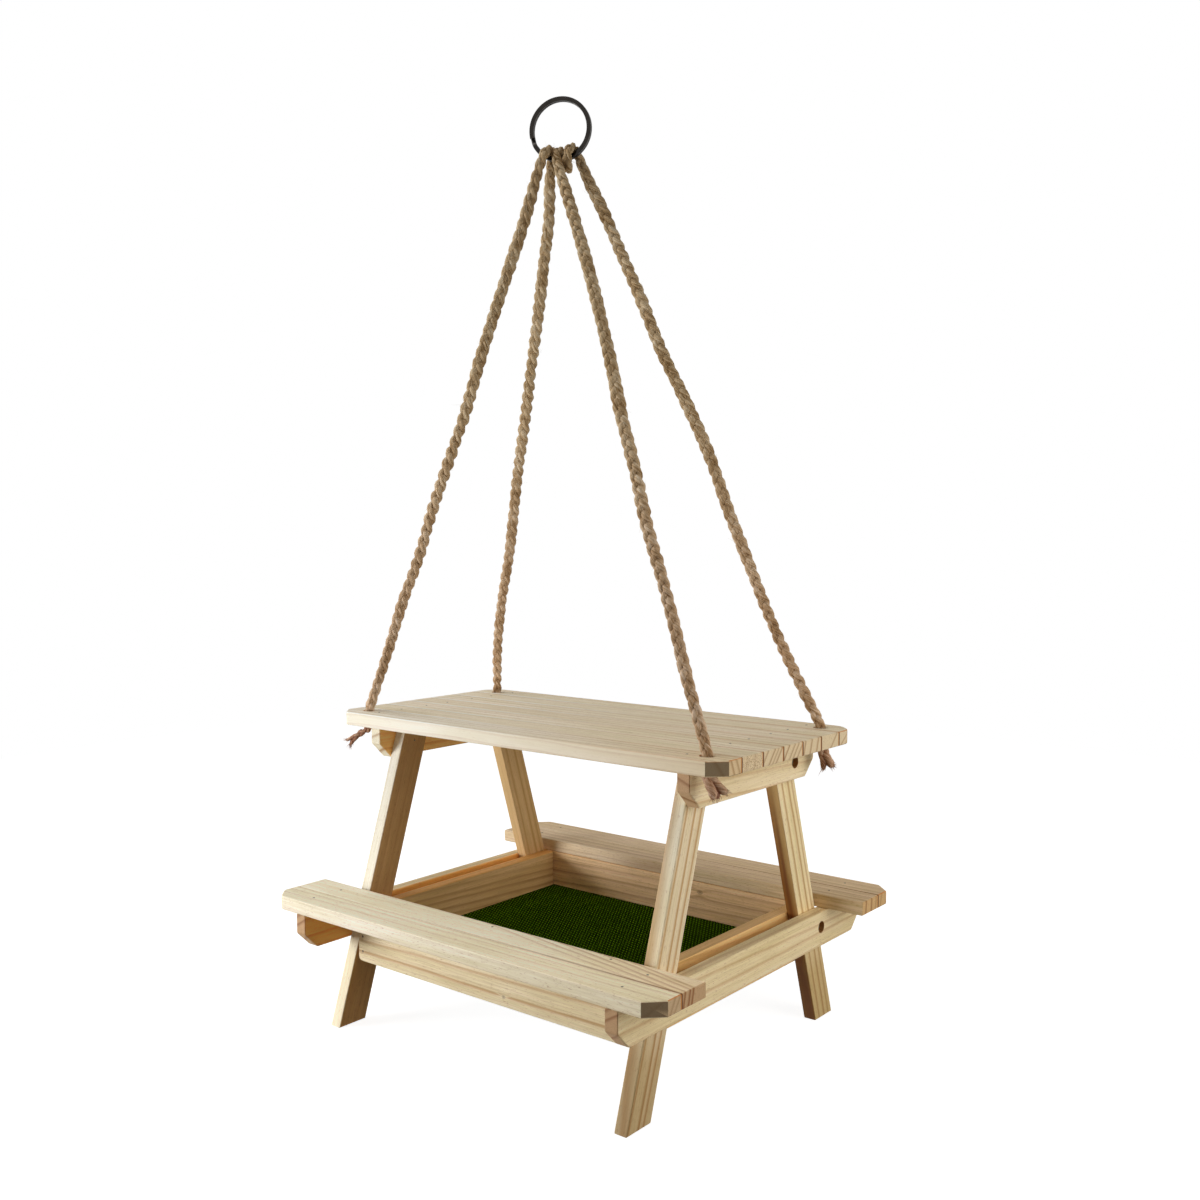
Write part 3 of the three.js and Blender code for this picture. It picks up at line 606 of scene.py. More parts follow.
def vector_maths(operation, first, second, output=0):
    values = {0: first, 1: second}
    return add_node(first.tree, "ShaderNodeVectorMath", dict(operation=operation), values, output)


def dot(first, second):
    """The scalar product of two directions: 1 where they point the same way."""
    return vector_maths("DOT_PRODUCT", first, tuple(second), 1)


def parts(vector):
    """The three parts of a place."""
    split = add_node(vector.tree, "ShaderNodeSeparateXYZ", None, {0: vector})
    return [Wire(vector.tree, socket) for socket in split.socket.node.outputs]


def noise(vector, stretch=WHITE, detail=2.0, rough=0.5):
    """Cloudy noise between 0 and 1 at a place, after each part of the place is multiplied."""
    values = {"Vector": vector_maths("MULTIPLY", vector, stretch), "Scale": 1.0, "Detail": detail,
              "Roughness": rough}
    return add_node(vector.tree, "ShaderNodeTexNoise", None, values)


def distance(first, second):
    """How far a point is from the axis, given its two places beside it."""
    return (first * first + second * second).maths("SQRT")


def bell(first, *others):
    """1 where every value is 0, and falling off smoothly around."""
    total = first * first
    for other in others:
        total = total + other * other
    return (0 - total).maths("EXPONENT")


def bump(height, strength, depth):
    values = {"Strength": strength, "Distance": depth, "Height": height}
    return add_node(height.tree, "ShaderNodeBump", None, values)


print("sums ready")

# %% Materials
def new_tree(name):
    """A material and its node tree, still empty."""
    material = bpy.data.materials.new(name)
    material.use_nodes = True
    material.node_tree.nodes.clear()
    return material, material.node_tree


def object_place(tree):
    """The Object coordinates of the shaded point."""
    return add_node(tree, "ShaderNodeTexCoord", output=3)


def join_output(shader, kind="ShaderNodeOutputMaterial"):
    """The output node of a material or a world, with this shader on it."""
    output = shader.tree.nodes.new(kind)
    shader.tree.links.new(shader.socket, output.inputs[0])


def principled(tree, values):
    """A Principled shader with these values, joined to the material's output."""
    join_output(add_node(tree, "ShaderNodeBsdfPrincipled", None, values))


def cloudy(name, scale, first, second, rough, detail=3.0, edges=None, metallic=0.0, specular=0.5):
    """Two colours in clouds of one size. The edges, where given, part the two more sharply.

    rough is how much the roughness varies with the clouds, and where it starts.
    """
    material, tree = new_tree(name)
    cloud = noise(object_place(tree), (scale, scale, scale), detail)
    share = cloud if edges is None else cloud.step(*edges)
    principled(tree, {"Base Color": mix(share, srgb(*first), srgb(*second)),
                      "Roughness": cloud * rough[0] + rough[1], "Metallic": metallic,
                      "Specular IOR Level": specular})
    return material


def dress(node, finish):
    """Puts a finish on a whole node of the CAD model."""
    for slot in node.material_slots:
        slot.material = finish
    if not node.material_slots:
        node.data.materials.append(finish)


print("materials ready")

# %% [markdown]
# ## Pine
#
# A tree grows a ring a year: a broad pale part in spring and a narrow brown one in late summer. A board
# is cut out of that stack of tubes, so the pattern is worked out in space, and one formula gives the
# lines on the long faces and the arcs on the ends.
#
# Near the middle of a board the strong annual lines are almost flat planes, so each is given by where
# it crosses the board, its slope along the grain and its tilt through the thickness, as read from the
# photograph. Faint rings round a pith line fill in between them. Noise stretched along the grain adds
# fine streaks, flecks and slow changes of tone.

# %% Colours and places on the boards
FLECK_BROWN, PORE_BROWN, STAIN_BROWN = srgb(176, 124, 76), srgb(132, 88, 52), srgb(150, 98, 54)
# Painted light and shade among these colours: BORE_BROWN is made lighter than the counterbores' shade;
# CUT_FACE, CUT_STREAK and CUT_ARRIS paint the shade of the cut corners; JOINT_ORANGE and ARRIS_LIT are
# painted highlights, and JOINT_DARK, SEAM_BROWN, ARRIS_FAR and ARRIS_BROWN painted shade
KNOT_BROWN, BORE_BROWN = srgb(120, 84, 50), srgb(150, 98, 42)
CUT_FACE, CUT_STREAK, CUT_ARRIS = srgb(110, 90, 64), srgb(80, 60, 40), srgb(206, 124, 54)
JOINT_ORANGE, JOINT_DARK, SEAM_BROWN = srgb(206, 132, 60), srgb(104, 60, 26), srgb(132, 78, 34)
ARRIS_LIT, ARRIS_FAR, ARRIS_BROWN = srgb(255, 252, 240), srgb(204, 174, 134), srgb(198, 142, 84)
BORE_R = 3.7
SEED_STEP = 337
NEXT_TO_END = (148.9, 149.5)
print("colours ready")

# %% Details of the pine finish
def round_knot(along, across, bent, knot):
    """Lines pushed aside round a knot, and its dark core, which has small rings of its own."""
    u, v, size = knot
    near = bell((along - u) / (2.6 * size), (across - v) / (1.6 * size))
    bent = bent + near * (0.9 * size) * (across - v).maths("SIGN")
    reach = distance((along - u) / size, (across - v) / (0.7 * size))
    return bent, reach.step(1.15, 0.55) * ((reach * 9.0).maths("SINE") * 0.25 + 0.75)


def annual_lines(along, bent, through, rings, lines, seed):
    """How brown the summer wood is on the faces, and how plainly it is drawn on the ends."""
    pith_v, pith_w, year, strength = rings
    years = distance(bent - pith_v, through - pith_w) / year
    row = add_node(along.tree, "ShaderNodeCombineXYZ", None, {0: years * 0.45 + seed})
    phase = (years + noise(row, detail=0.0) * 1.6).maths("FRACT")
    late_wood = phase.step(0.45, 0.95) ** 1.6 * phase.step(1.0, 0.95) * strength
    drawn = late_wood * 0.3
    # A strong line begins softly on one side and ends sharply on the other
    for offset, slope, tilt, strength in lines:
        off = bent - offset - along * slope - through * tilt
        line = bell((off * 1.5).maths("MAXIMUM", off * -0.75))
        late_wood = late_wood.maths("MAXIMUM", line * strength)
        drawn = drawn.maths("MAXIMUM", line * (strength * 1.8))
    return late_wood, drawn


def between_slats(colour, along, across, flat, joints, seams, painted_seam_shade):
    """Painted light and shade on the arrises of slats that lie side by side, pale at the left and brown
    at the right.

    The near arris is a painted highlight and the far one painted shade, and the seam between them is
    painted shade. Places are in mm from the middle of the slat. On the ends a joint has an orange side,
    a painted highlight, and a dark one, painted shade in the gap.
    """
    near_end = along.maths("ABSOLUTE").step(*NEXT_TO_END)
    colour = mix(near_end * across.step(9.5, 9.9) * (0.9 * seams[1]), colour, JOINT_ORANGE)
    colour = mix(near_end * across.step(-9.7, -10.0) * (0.9 * seams[0]), colour, JOINT_DARK)
    rightward = (along * 0.004 + 0.3).maths("MAXIMUM", 0.0)
    leftward = (along * -0.004 + 0.3).maths("MAXIMUM", 0.0)
    seam = (across.step(-9.7, -10.1) * seams[0]).maths("MAXIMUM", across.step(9.7, 10.1) * seams[1])
    colour = mix(seam * flat * rightward * painted_seam_shade, colour, SEAM_BROWN)
    near_arris, far_arris = across.step(-9.0, -9.9) * flat, across.step(7.6, 10.3) * flat
    colour = mix(near_arris * (leftward * 1.6).maths("MINIMUM", 1.0) * joints, colour, ARRIS_LIT)
    colour = mix(far_arris * leftward * joints, colour, ARRIS_FAR)
    return mix(near_arris.maths("MAXIMUM", far_arris) * rightward * (0.5 * joints), colour, ARRIS_BROWN)


print("details ready")

# %% The pine finish
def pine(name, centre, grain, width_way, lines, rings, pale, brown, end, seed, drift=None, streaks=1.0,
         speckle=0.25, knot=None, stain=None, bores=(), tints=(), quiet=None, cut_corners=False,
         joints=0.0, seams=(0, 0), painted_seam_shade=0.0):
    """Sawn pine as a solid pattern. All lengths are in mm.

    centre, grain and width_way place the board: its middle, and the directions of its length and width.
    lines are its strong annual lines, each (offset, slope, tilt, strength): a brown plane at
    offset + slope * along + tilt * through across the width, so that it shows on faces and ends alike.
    rings are the faint ones between them: (across, through) of the pith from the middle, then the width
    of a year's growth and how brown it is. pale, brown and end are sRGB colours: the spring wood, the
    summer wood and the ends. seed sets the noises, streaks how strong they are, and speckle how many
    pores the ends show. drift is painted light and shade along the board: the tint at the
    start and at the end of the board, and where it begins and stops. knot is (along, across, size), and
    stain (along, across, through, length, radius, strength). bores are the (y, z) of the screws'
    counterbores, whose insides are painted brown and lighter than their shade, which is painted light.
    tints are pairs of a direction and what the face that looks that way is multiplied by:
    painted light and painted shade on those faces. quiet is the direction of a face with hardly any
    figure. joints is how strongly the painted highlights and painted shade on the arrises
    between neighbouring slats show, seams says on which of the two edges there is a neighbour, and
    painted_seam_shade how dark the painted shade in the line between them is.
    """
    material, tree = new_tree(name)
    coords, normal = object_place(tree), add_node(tree, "ShaderNodeTexCoord", output=1)
    grain, width_way = Vector(grain).normalized(), Vector(width_way).normalized()
    thick_way = grain.cross(width_way)
    turned = Matrix((grain, width_way, thick_way)).transposed()
    place = add_node(tree, "ShaderNodeMapping", dict(vector_type="TEXTURE"),
                     {"Vector": coords, "Location": tuple(value * MM for value in centre),
                      "Rotation": tuple(turned.to_euler("XYZ")), "Scale": (MM, MM, MM)})
    moved = vector_maths("ADD", place, (SEED_STEP * seed, 0, 0))
    along, across, through = parts(place)

    # Living wood is never quite straight: slow waves of the trunk, and a finer waver
    wave = noise(moved, (0.009, 0.02, 0.02), 1.0) - 0.5
    waver = noise(moved, (0.04, 0.1, 0.1), 1.0) - 0.5
    bent = across + wave * 3.0 + waver * 0.5
    if knot is not None:
        bent, core = round_knot(along, across, bent, knot)
    late_wood, drawn = annual_lines(along, bent, through, rings, lines, seed)

    # Fine streaks along the grain, short brown flecks, and broad clouds of tone
    fine = noise(moved, (0.05, 1.5, 1.5), 2.0, 0.6)
    hairline = noise(moved, (0.06, 4.0, 4.0), 1.0)
    fleck = noise(moved, (0.35, 3.2, 3.2), 1.0).step(0.64, 0.72)
    broad = noise(moved, (0.008, 0.42, 0.42), 1.0)
    cloud = noise(moved, (0.012, 0.07, 0.07), 2.0)
    shade = (fine - 0.5) * 0.42 + (hairline - 0.5) * 0.42 + (broad - 0.5) * 0.34
    warmth = (fine - 0.5) * 0.25 + (broad - 0.5) * 0.25
    if quiet is not None:
        calm = 1 - dot(normal, quiet).step(0.4, 0.8) * 0.8
        shade, warmth, fleck = shade * calm, warmth * calm, fleck * calm
    shade = shade * streaks + (cloud - 0.5) * 0.22 + 1
    warmth = warmth * streaks + (cloud - 0.5) * 0.2 + 1
    blue = shade ** 1.3 * warmth
    tone = add_node(tree, "ShaderNodeCombineColor", None, {0: shade, 1: shade ** 1.15, 2: blue})
    colour = multiplied(mix(late_wood, srgb(*pale), srgb(*brown)), tone)
    colour = mix(fleck * 0.55, colour, FLECK_BROWN)

    # The ends: the normal points along the grain there, and the cut cells look darker and porous
    facing = dot(normal, grain).maths("ABSOLUTE")
    end_grain = facing.step(0.35, 0.8)
    pores = noise(moved, (0.5, 2.6, 2.6), 2.0)
    end_brown = srgb(*(value * share for value, share in zip(end, (0.72, 0.58, 0.44))))
    end_colour = mix(drawn.maths("MINIMUM", 1.0), srgb(*end), end_brown)
    end_colour = mix(pores.step(0.5, 0.64) * speckle, end_colour, end_brown)
    end_colour = mix(pores.step(0.6, 0.7) * (0.9 * speckle), end_colour, PORE_BROWN)
    colour = mix(end_grain, colour, end_colour)

    # What the years and the saw left on this one board: a stain and a knot. Then painted light and
    # shade: a ramp along the board, the dark cut corners, the slats' arrises and seams, single faces
    # and the counterbores
    if stain is not None:
        u, v, w, length, radius, strength = stain
        near = bell((along - u) / length, (across - v) / radius, (through - w) / radius)
        colour = mix(near * (fine * 0.8 + 0.6) * strength, colour, STAIN_BROWN)
    if knot is not None:
        colour = mix(core * 0.65, colour, KNOT_BROWN)
    # Painted light and shade: the colour is multiplied by a tint that changes along the board, standing
    # in for how much light reaches each end
    if drift is not None:
        first, second, begin, stop = drift
        share = ((along - begin) / (stop - begin)).maths("MAXIMUM", 0.0).maths("MINIMUM", 1.0)
        colour = multiplied(colour, mix(share, first, second))
    # Painted shade: the faces of the corners cut at 45 degrees are painted dark brown, with a darker
    # streak and orange lines at their arrises
    if cut_corners:
        painted_cut_shade = mix(hairline.step(0.4, 0.7) * 0.4, CUT_FACE, CUT_STREAK)
        painted_cut_shade = mix(through.step(3.55, 3.8), painted_cut_shade, CUT_ARRIS)
        colour = mix(facing.step(0.6, 0.68) * facing.step(0.8, 0.74) * 0.8, colour, painted_cut_shade)
    # Painted highlights and painted shade on the arrises and in the seams between slats
    if joints:
        flat = dot(normal, thick_way).step(0.2, 0.6)
        colour = between_slats(colour, along, across, flat, joints, seams, painted_seam_shade)
    # Painted light and shade: a face that looks one way is made lighter or darker by its tint
    for direction, tint in tints:
        colour = multiplied(colour, mix(dot(normal, direction).step(0.5, 0.8), WHITE, tint))
    # The insides of the counterbores are painted brown: the colour of the drilled wood, made lighter
    # than their shade, which is painted light
    for y, z in bores:
        _, off_y, off_z = parts(vector_maths("SUBTRACT", coords, (0, y * MM, z * MM)))
        inside = distance(off_y, off_z).step((BORE_R + 0.15) * MM, (BORE_R - 0.05) * MM)
        colour = mix(inside * 0.9, colour, BORE_BROWN)
    height = fine * 0.6 + hairline * 0.5 - late_wood * 0.4 - fleck * 0.6 + end_grain * pores * 1.2
    principled(tree, {"Base Color": colour, "Roughness": fine * 0.16 + late_wood * -0.1 + 0.6,
                      "Specular IOR Level": 0.3, "Normal": bump(height, 0.3, 0.0001)})
    return material


print("pine ready")

# %% [markdown]
# Each board has its own lines, tones and marks. Boards that face the same way share what can be shared,
# and what differs is listed by the board's name.

# %% The slats of the top
SLAT_PITCH = 21.3
ALONG_X, ALONG_Y, ALONG_Z = (1, 0, 0), (0, 1, 0), (0, 0, 1)
LYING = dict(grain=ALONG_X, width_way=ALONG_Y)
ACROSS_THE_END = dict(grain=ALONG_Y, width_way=ALONG_Z, streaks=0.8)
TO_FRONT = (0, -1, 0)
# PALER and WARMER are the ends of a painted light ramp: unchanged, and darker and warmer where less
# light falls
PALER, WARMER = WHITE, (0.95, 0.92, 0.84)
FRONT_BACK = (("front", -1), ("back", 1))
LEFT_RIGHT = (("left", -1), ("right", 1))

slat_lines = [
    [(-5.3, 0.0, -0.47, 0.35), (2.1, 0.0, -0.45, 0.4), (7.4, 0.0, -0.5, 0.35)],
    [(-6.0, 0.004, 0.2, 0.15), (3.5, -0.004, 0.2, 0.18)],
    [(-8.0, 0.0, 0.85, 0.35), (-1.3, 0.003, 0.85, 0.4), (3.0, 0.0, 0.85, 0.3), (6.6, 0.0, 0.85, 0.4)],
    [(-7.8, 0.004, 0.8, 0.45), (-1.5, 0.004, 0.8, 0.35), (3.3, 0.0, 0.8, 0.35), (8.0, 0.0, 0.8, 0.35)],
    [(-8.0, -0.003, 0.3, 0.4), (-0.5, -0.003, 0.3, 0.4), (6.5, 0.0, 0.3, 0.4)],
    [(4.0, 0.003, 0.9, 0.35)],
    [(-3.0, 0.0, 1.4, 0.35), (3.0, 0.0, 1.4, 0.35)],
]
slat_pale = [(253, 240, 214), (248, 234, 204), (251, 238, 210), (246, 232, 203), (250, 237, 210),
             (248, 234, 205), (250, 236, 206)]
slat_year = [2.4, 3.0, 2.0, 2.6, 3.2, 2.2, 2.8]
boards = {}
# Painted light: each slat is ramped from PALER at its left end to WARMER at its right
for i in range(7):
    boards[f"top_slat_{i + 1}"] = dict(
        centre=(0, (i - 3) * SLAT_PITCH, 188), lines=slat_lines[i],
        rings=(62 - 124 * (i % 2), -36 + 9 * i, slat_year[i], 0.22), pale=slat_pale[i],
        brown=(196, 150, 100), end=(240, 222, 190), seed=1.3 + i, drift=(PALER, WARMER, -150, 150),
        cut_corners=i in (0, 6), joints=1.0, seams=(i > 0, i < 6), **LYING)
# Painted light on the front slat: paler and cooler at the left end, darker and warmer towards the right
boards["top_slat_1"].update(quiet=TO_FRONT, drift=((1.02, 1.06, 1.12), (0.88, 0.8, 0.66), -60, 150))
boards["top_slat_2"].update(speckle=0.9)
print(len(boards), "slats")

# %% The benches and the tray's side boards
bench_lines = {
    "front_outer": [(-6.0, 0.002, 1.0, 0.25), (2.7, 0.004, 0.6, 0.28), (6.8, 0.004, 0.7, 0.25)],
    "front_inner": [(8.5, -0.17, 0.25, 0.4), (14.5, -0.18, 0.25, 0.55), (20.0, -0.19, 0.25, 0.6),
                    (26.0, -0.2, 0.25, 0.6), (32.0, -0.22, 0.25, 0.6)],
    "back_outer": [(-6.0, 0.0, 0.3, 0.3), (1.0, 0.004, 0.3, 0.35), (6.0, 0.0, 0.3, 0.3)],
    "back_inner": [(-6.0, 0.004, 0.1, 0.5), (1.0, 0.004, 0.1, 0.5), (7.0, 0.003, 0.1, 0.3)],
}
# The front bench's upward faces are painted paler by their tint, which is painted light
bench_looks = {
    "front": dict(rings=(60, -30, 2.6, 0.14), pale=(255, 242, 212), brown=(190, 144, 96), streaks=0.75,
                  end=(214, 188, 154), tints=[(ALONG_Z, (1.06, 1.09, 1.09))]),
    "back": dict(rings=(-60, -30, 2.6, 0.24), pale=(233, 207, 168), brown=(180, 134, 90), streaks=1.1,
                 end=(226, 190, 138)),
}
side_looks = {
    "front": dict(pale=(244, 225, 182), brown=(196, 148, 92), knot=(17.6, -11.2, 1.6),
                  lines=[(-1.9, 0.022, 0.1, 0.6), (-10.7, 0.003, 0.1, 0.8), (8.0, 0.01, 0.1, 0.5),
                         (13.5, 0.01, 0.1, 0.4)]),
    "back": dict(pale=(252, 211, 160), brown=(168, 112, 62), knot=(30.0, 10.3, 2.4),
                 lines=[(11.9, 0.02, 0.15, 0.4), (4.9, 0.02, 0.15, 0.55), (-2.3, 0.028, 0.15, 0.5),
                        (-8.2, 0.03, 0.15, 0.35), (-14.0, 0.02, 0.15, 0.3)]),
}
# Painted light: each bench is ramped darker and warmer towards its right end, the front inner one more
# strongly
for face, sign in FRONT_BACK:
    for row, y in (("inner", 96.44), ("outer", 117.74)):
        boards[f"bench_{face}_{row}"] = dict(
            centre=(0, sign * y, 78.4), lines=bench_lines[f"{face}_{row}"],
            speckle=0.3, seed=11.7 + sign + 0.01 * y, drift=(PALER, WARMER, -60, 150),
            seams=(0, 1) if (face == "front") == (row == "outer") else (1, 0),
            cut_corners=row == "outer", joints=0.15, painted_seam_shade=0.8, **LYING, **bench_looks[face])
    boards[f"tray_side_board_{face}"] = dict(
        centre=(0, sign * 90, 56.8), grain=ALONG_X, width_way=ALONG_Z, rings=(-70, sign * 30, 2.4, 0.2),
        end=(206, 172, 128), seed=17.1 + sign, **side_looks[face])
boards["bench_front_inner"].update(drift=(PALER, (0.9, 0.79, 0.66), 60, 150))
boards["bench_back_inner"].update(stain=(-10, -8, -1, 26, 5, 0.55))
print(len(boards), "boards so far")

# %% The boards at the two ends
CLEAT_SCREW = (44.0, 172.9)
RAIL_SCREW = (78.15, 64.6)


def mirrored(y, z):
    return [(-y, z), (y, z)]


for side, sign in LEFT_RIGHT:
    boards[f"top_cleat_{side}"] = dict(
        centre=(sign * 121.7, 0, 173), rings=(70, -30, 2.0, 0.12), seed=21.4 + sign,
        lines=[(-7.6, -0.03, -0.4 * sign, 0.55), (2.5, -0.035, -0.4 * sign, 0.4),
               (9.5, -0.02, -0.4 * sign, 0.25)],
        pale=(250, 231, 190), brown=(204, 158, 94), end=(206, 168, 126),
        bores=mirrored(*CLEAT_SCREW), **ACROSS_THE_END)
    boards[f"seat_rail_{side}"] = dict(
        centre=(sign * 121.7, 0, 63.2), rings=(80, -30, 2.4, 0.12), seed=23.2 + sign,
        lines=[(3.0, -0.026, 0.62, 0.45), (-4.4, 0.002, 0.62, 0.5), (10.4, -0.01, 0.62, 0.4),
               (-12.5, 0.0, 0.62, 0.3)],
        pale=(254, 233, 186), brown=(200, 150, 86), end=(202, 162, 118),
        bores=mirrored(*RAIL_SCREW), **ACROSS_THE_END)
    boards[f"tray_end_board_{side}"] = dict(
        centre=(sign * 104.3, 0, 56.8), rings=(-60, 30, 2.2, 0.15), seed=26.3 + sign,
        lines=[(13.5, -0.05, 0.1, 0.4), (8.6, -0.05, 0.1, 0.55), (4.4, -0.055, 0.1, 0.6),
               (-1.0, -0.06, 0.1, 0.6), (-5.8, -0.06, 0.1, 0.5), (-11.0, -0.06, 0.1, 0.4)],
        pale=(224, 184, 126), brown=(168, 116, 62), end=(200, 160, 110), **ACROSS_THE_END)
# Painted light and shade by face: the inner faces of the left cleat and rail are painted warm brown
# shade, the top of the left end board a warm orange, and the outer face and top of the right end board
# are painted lighter, standing in for light that bounces into the gap beside the rail
boards["top_cleat_left"].update(end=(244, 234, 206), tints=[(ALONG_X, (1.2, 0.84, 0.45))])
boards["seat_rail_left"].update(tints=[(ALONG_X, (1.25, 0.78, 0.36))])
boards["tray_end_board_left"].update(tints=[(ALONG_Z, (1.15, 0.92, 0.62))])
boards["tray_end_board_right"].update(
    tints=[(ALONG_X, (1.45, 1.5, 1.45)), (ALONG_Z, (1.15, 1.15, 1.15))])
print(len(boards), "boards so far")

# %% The legs, and every board's finish
LEG_LEAN = math.radians(17.5)
# Painted light and shade by face: the front right leg's front face is painted paler and cooler, the
# front left leg's a little cooler, and the back right leg's front face and the front left leg's inner
# face are painted dark brown shade
leg_looks = {
    "front_right": dict(
        lines=[(-9.0, 0.012, -0.25, 0.75), (-0.3, 0.008, -0.1, 0.85), (5.0, 0.02, -0.12, 0.8),
               (-12.9, -0.025, 0.3, 0.4)],
        pale=(249, 231, 194), tints=[(TO_FRONT, (1.02, 1.08, 1.14))]),
    "back_right": dict(
        lines=[(-4.8, 0.008, -0.1, 0.75), (1.6, 0.01, -0.1, 0.8), (6.2, 0.004, -0.1, 0.6),
               (-10.3, -0.002, 0.12, 1.0)],
        pale=(255, 236, 188), tints=[(TO_FRONT, (0.55, 0.41, 0.25))],
        stain=(14, -10.4, 0.6, 50, 1.4, 0.9)),
    "front_left": dict(
        lines=[(-4.0, 0.006, 0.1, 0.2), (3.2, 0.008, 0.1, 0.2), (8.0, 0.006, 0.1, 0.15)],
        pale=(251, 236, 206), tints=[(ALONG_X, (0.56, 0.365, 0.19)), (TO_FRONT, (0.92, 0.97, 1.04))]),
    "back_left": dict(
        lines=[(-5.0, 0.006, 0.1, 0.6), (2.2, 0.01, 0.1, 0.7), (7.0, 0.008, 0.1, 0.5)],
        pale=(222, 184, 128)),
}
# Painted light and shade at the feet: the lower ends of the left legs are painted lighter and those of
# the right legs darker and warmer
painted_foot_light = {"left": (1.25, 1.2, 1.08), "right": (0.72, 0.63, 0.48)}
for side, sign in LEFT_RIGHT:
    for face, facing in FRONT_BACK:
        lean_y, lean_z = facing * math.sin(LEG_LEAN), math.cos(LEG_LEAN)
        boards[f"leg_{face}_{side}"] = dict(
            centre=(sign * 113, facing * 69.6, 91.8), grain=(0, -lean_y, lean_z),
            width_way=(0, lean_z, lean_y), rings=(70, -20, 2.0, 0.12), brown=(190, 140, 74),
            end=(210, 176, 130),
            seed=31.9 + 2 * sign + facing, streaks=0.7, drift=(painted_foot_light[side], PALER, -62, -30),
            **leg_looks[f"{face}_{side}"])
for name, board in boards.items():
    dress(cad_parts[name], pine(f"pine_{name}", **board))
print(len(boards), "boards finished")

# %% [markdown]
# Sawn boards have softly broken arrises. The CAD boards have a small flat chamfer there; a Weld
# modifier joins their loose triangles and a narrow Bevel rounds the chamfer's edges without touching
# the mesh itself.

# %% Round the arrises
for name in boards:
    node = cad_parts[name]
    weld = node.modifiers.new("weld", "WELD")
    weld.merge_threshold = 0.01 * MM
    bevel = node.modifiers.new("bevel", "BEVEL")
    bevel.width = 0.22 * MM
    bevel.segments = 2
    bevel.limit_method = "ANGLE"
    bevel.angle_limit = math.radians(30)
    bevel.use_clamp_overlap = True
    bevel.harden_normals = True
print("bevels on", len(boards), "boards")

# %% [markdown]
# ## Jute
#
# A plaited yarn is a bundle of twisted fibres. The plait's points carry a `fibre` attribute, which
# winds round the yarn with its twist, so noise stretched along it gives fibres that follow the yarn.
# A `recess` attribute is small near the middle of the cord, and there the finish paints shade between
# the yarns. The tails under the table top are redder than the strands above it.

# %% The jute finish
DRY_JUTE = [(0.08, (134, 102, 62)), (0.4, (190, 160, 120)), (0.66, (218, 194, 158)),
            (0.95, (240, 224, 198))]
RED_JUTE = [(0.08, (108, 60, 40)), (0.4, (170, 126, 98)), (0.66, (206, 168, 138)),
            (0.95, (232, 204, 176))]
DRY_HAIR = [(0.3, (186, 156, 114)), (0.7, (232, 210, 172))]
TAIL_EDGES = (0.188, 0.182)
LOWER_TINT, UPPER_TINT = (1.0, 0.93, 0.95), (0.95, 0.94, 0.9)


def colour_ramp(value, stops):
    """Colours along a value from 0 to 1: pairs of a place and an sRGB colour."""
    stops = [(place, srgb(*colour)) for place, colour in stops]
    return add_node(value.tree, "ShaderNodeValToRGB", dict(stops=stops), {0: value})


def jute(name):
    material, tree = new_tree(name)
    fibre = add_node(tree, "ShaderNodeAttribute", dict(attribute_name="fibre"), output=1)
    recess = add_node(tree, "ShaderNodeAttribute", dict(attribute_name="recess"), output=2)
    place = object_place(tree)
    height = parts(place)[2]
    strands = noise(fibre, (5.5, 5.5, 0.5), 3.0, 0.65)
    tufts = noise(fibre, (1.6, 1.6, 0.35), 1.0)
    cloud = noise(place, (90, 90, 90), 2.0)
    light = (strands - 0.5) * 1.7 + (tufts - 0.5) * 0.9 + (cloud - 0.5) * 0.9 + 0.5
    # Painted shade: the jute is darkened near the middle of the cord, and more strongly in the tails
    painted_crevice_shade = (1 - recess) * 0.62
    colour = mix(painted_crevice_shade, colour_ramp(light, DRY_JUTE), srgb(112, 80, 40))
    colour = multiplied(colour, mix(height.step(0.24, 0.42), LOWER_TINT, UPPER_TINT))
    tail = mix(painted_crevice_shade * 1.3, colour_ramp(light, RED_JUTE), srgb(112, 48, 30))
    colour = mix(height.step(*TAIL_EDGES) * 0.85, colour, tail)
    principled(tree, {"Base Color": colour, "Roughness": strands * 0.2 + 0.75,
                      "Specular IOR Level": 0.2, "Normal": bump(strands + tufts * 0.6, 0.5, 0.0003)})
    return material


def loose_fibre(name):
    material, tree = new_tree(name)
    place = object_place(tree)
    tint = noise(place, (700, 700, 700), 1.0)
    tail = mix(tint.step(0.35, 0.65), srgb(130, 84, 60), srgb(206, 164, 134))
    colour = mix(parts(place)[2].step(*TAIL_EDGES), colour_ramp(tint, DRY_HAIR), tail)
    principled(tree, {"Base Color": colour, "Roughness": 0.7})
    return material


for pieces, finish in ((jute_pieces, jute("jute")), (hair_pieces, loose_fibre("jute_hairs"))):
    for piece in pieces:
        piece.data.materials.append(finish)
print("jute on", len(jute_pieces) + len(hair_pieces), "pieces")

# %% [markdown]
# ## The split ring
#
# A split ring is flat steel coiled twice round, with a step where it changes from the first turn to the
# second. Its middle line is a circle whose height along the axis changes only in that step; the
# profile is a flat bar with rounded edges, carried along that line.

# %% The ring's two turns
RING_END = math.radians(193)
RING_STEP = math.radians(19)
RING_RINGS = 420


def rounded_bar(half_wide, half_high, edge, per_corner=5):
    """Outline of a flat bar: four quarter circles joined by straight sides."""
    angle = np.linspace(0, np.pi / 2, per_corner)
    corners = []
    for quarter, (x, y) in enumerate(((1, 1), (-1, 1), (-1, -1), (1, -1))):
        turn = angle + quarter * np.pi / 2
        corners.append(np.stack([x * (half_wide - edge) + edge * np.cos(turn),
                                 y * (half_high - edge) + edge * np.sin(turn)], axis=1))
    return np.concatenate(corners)


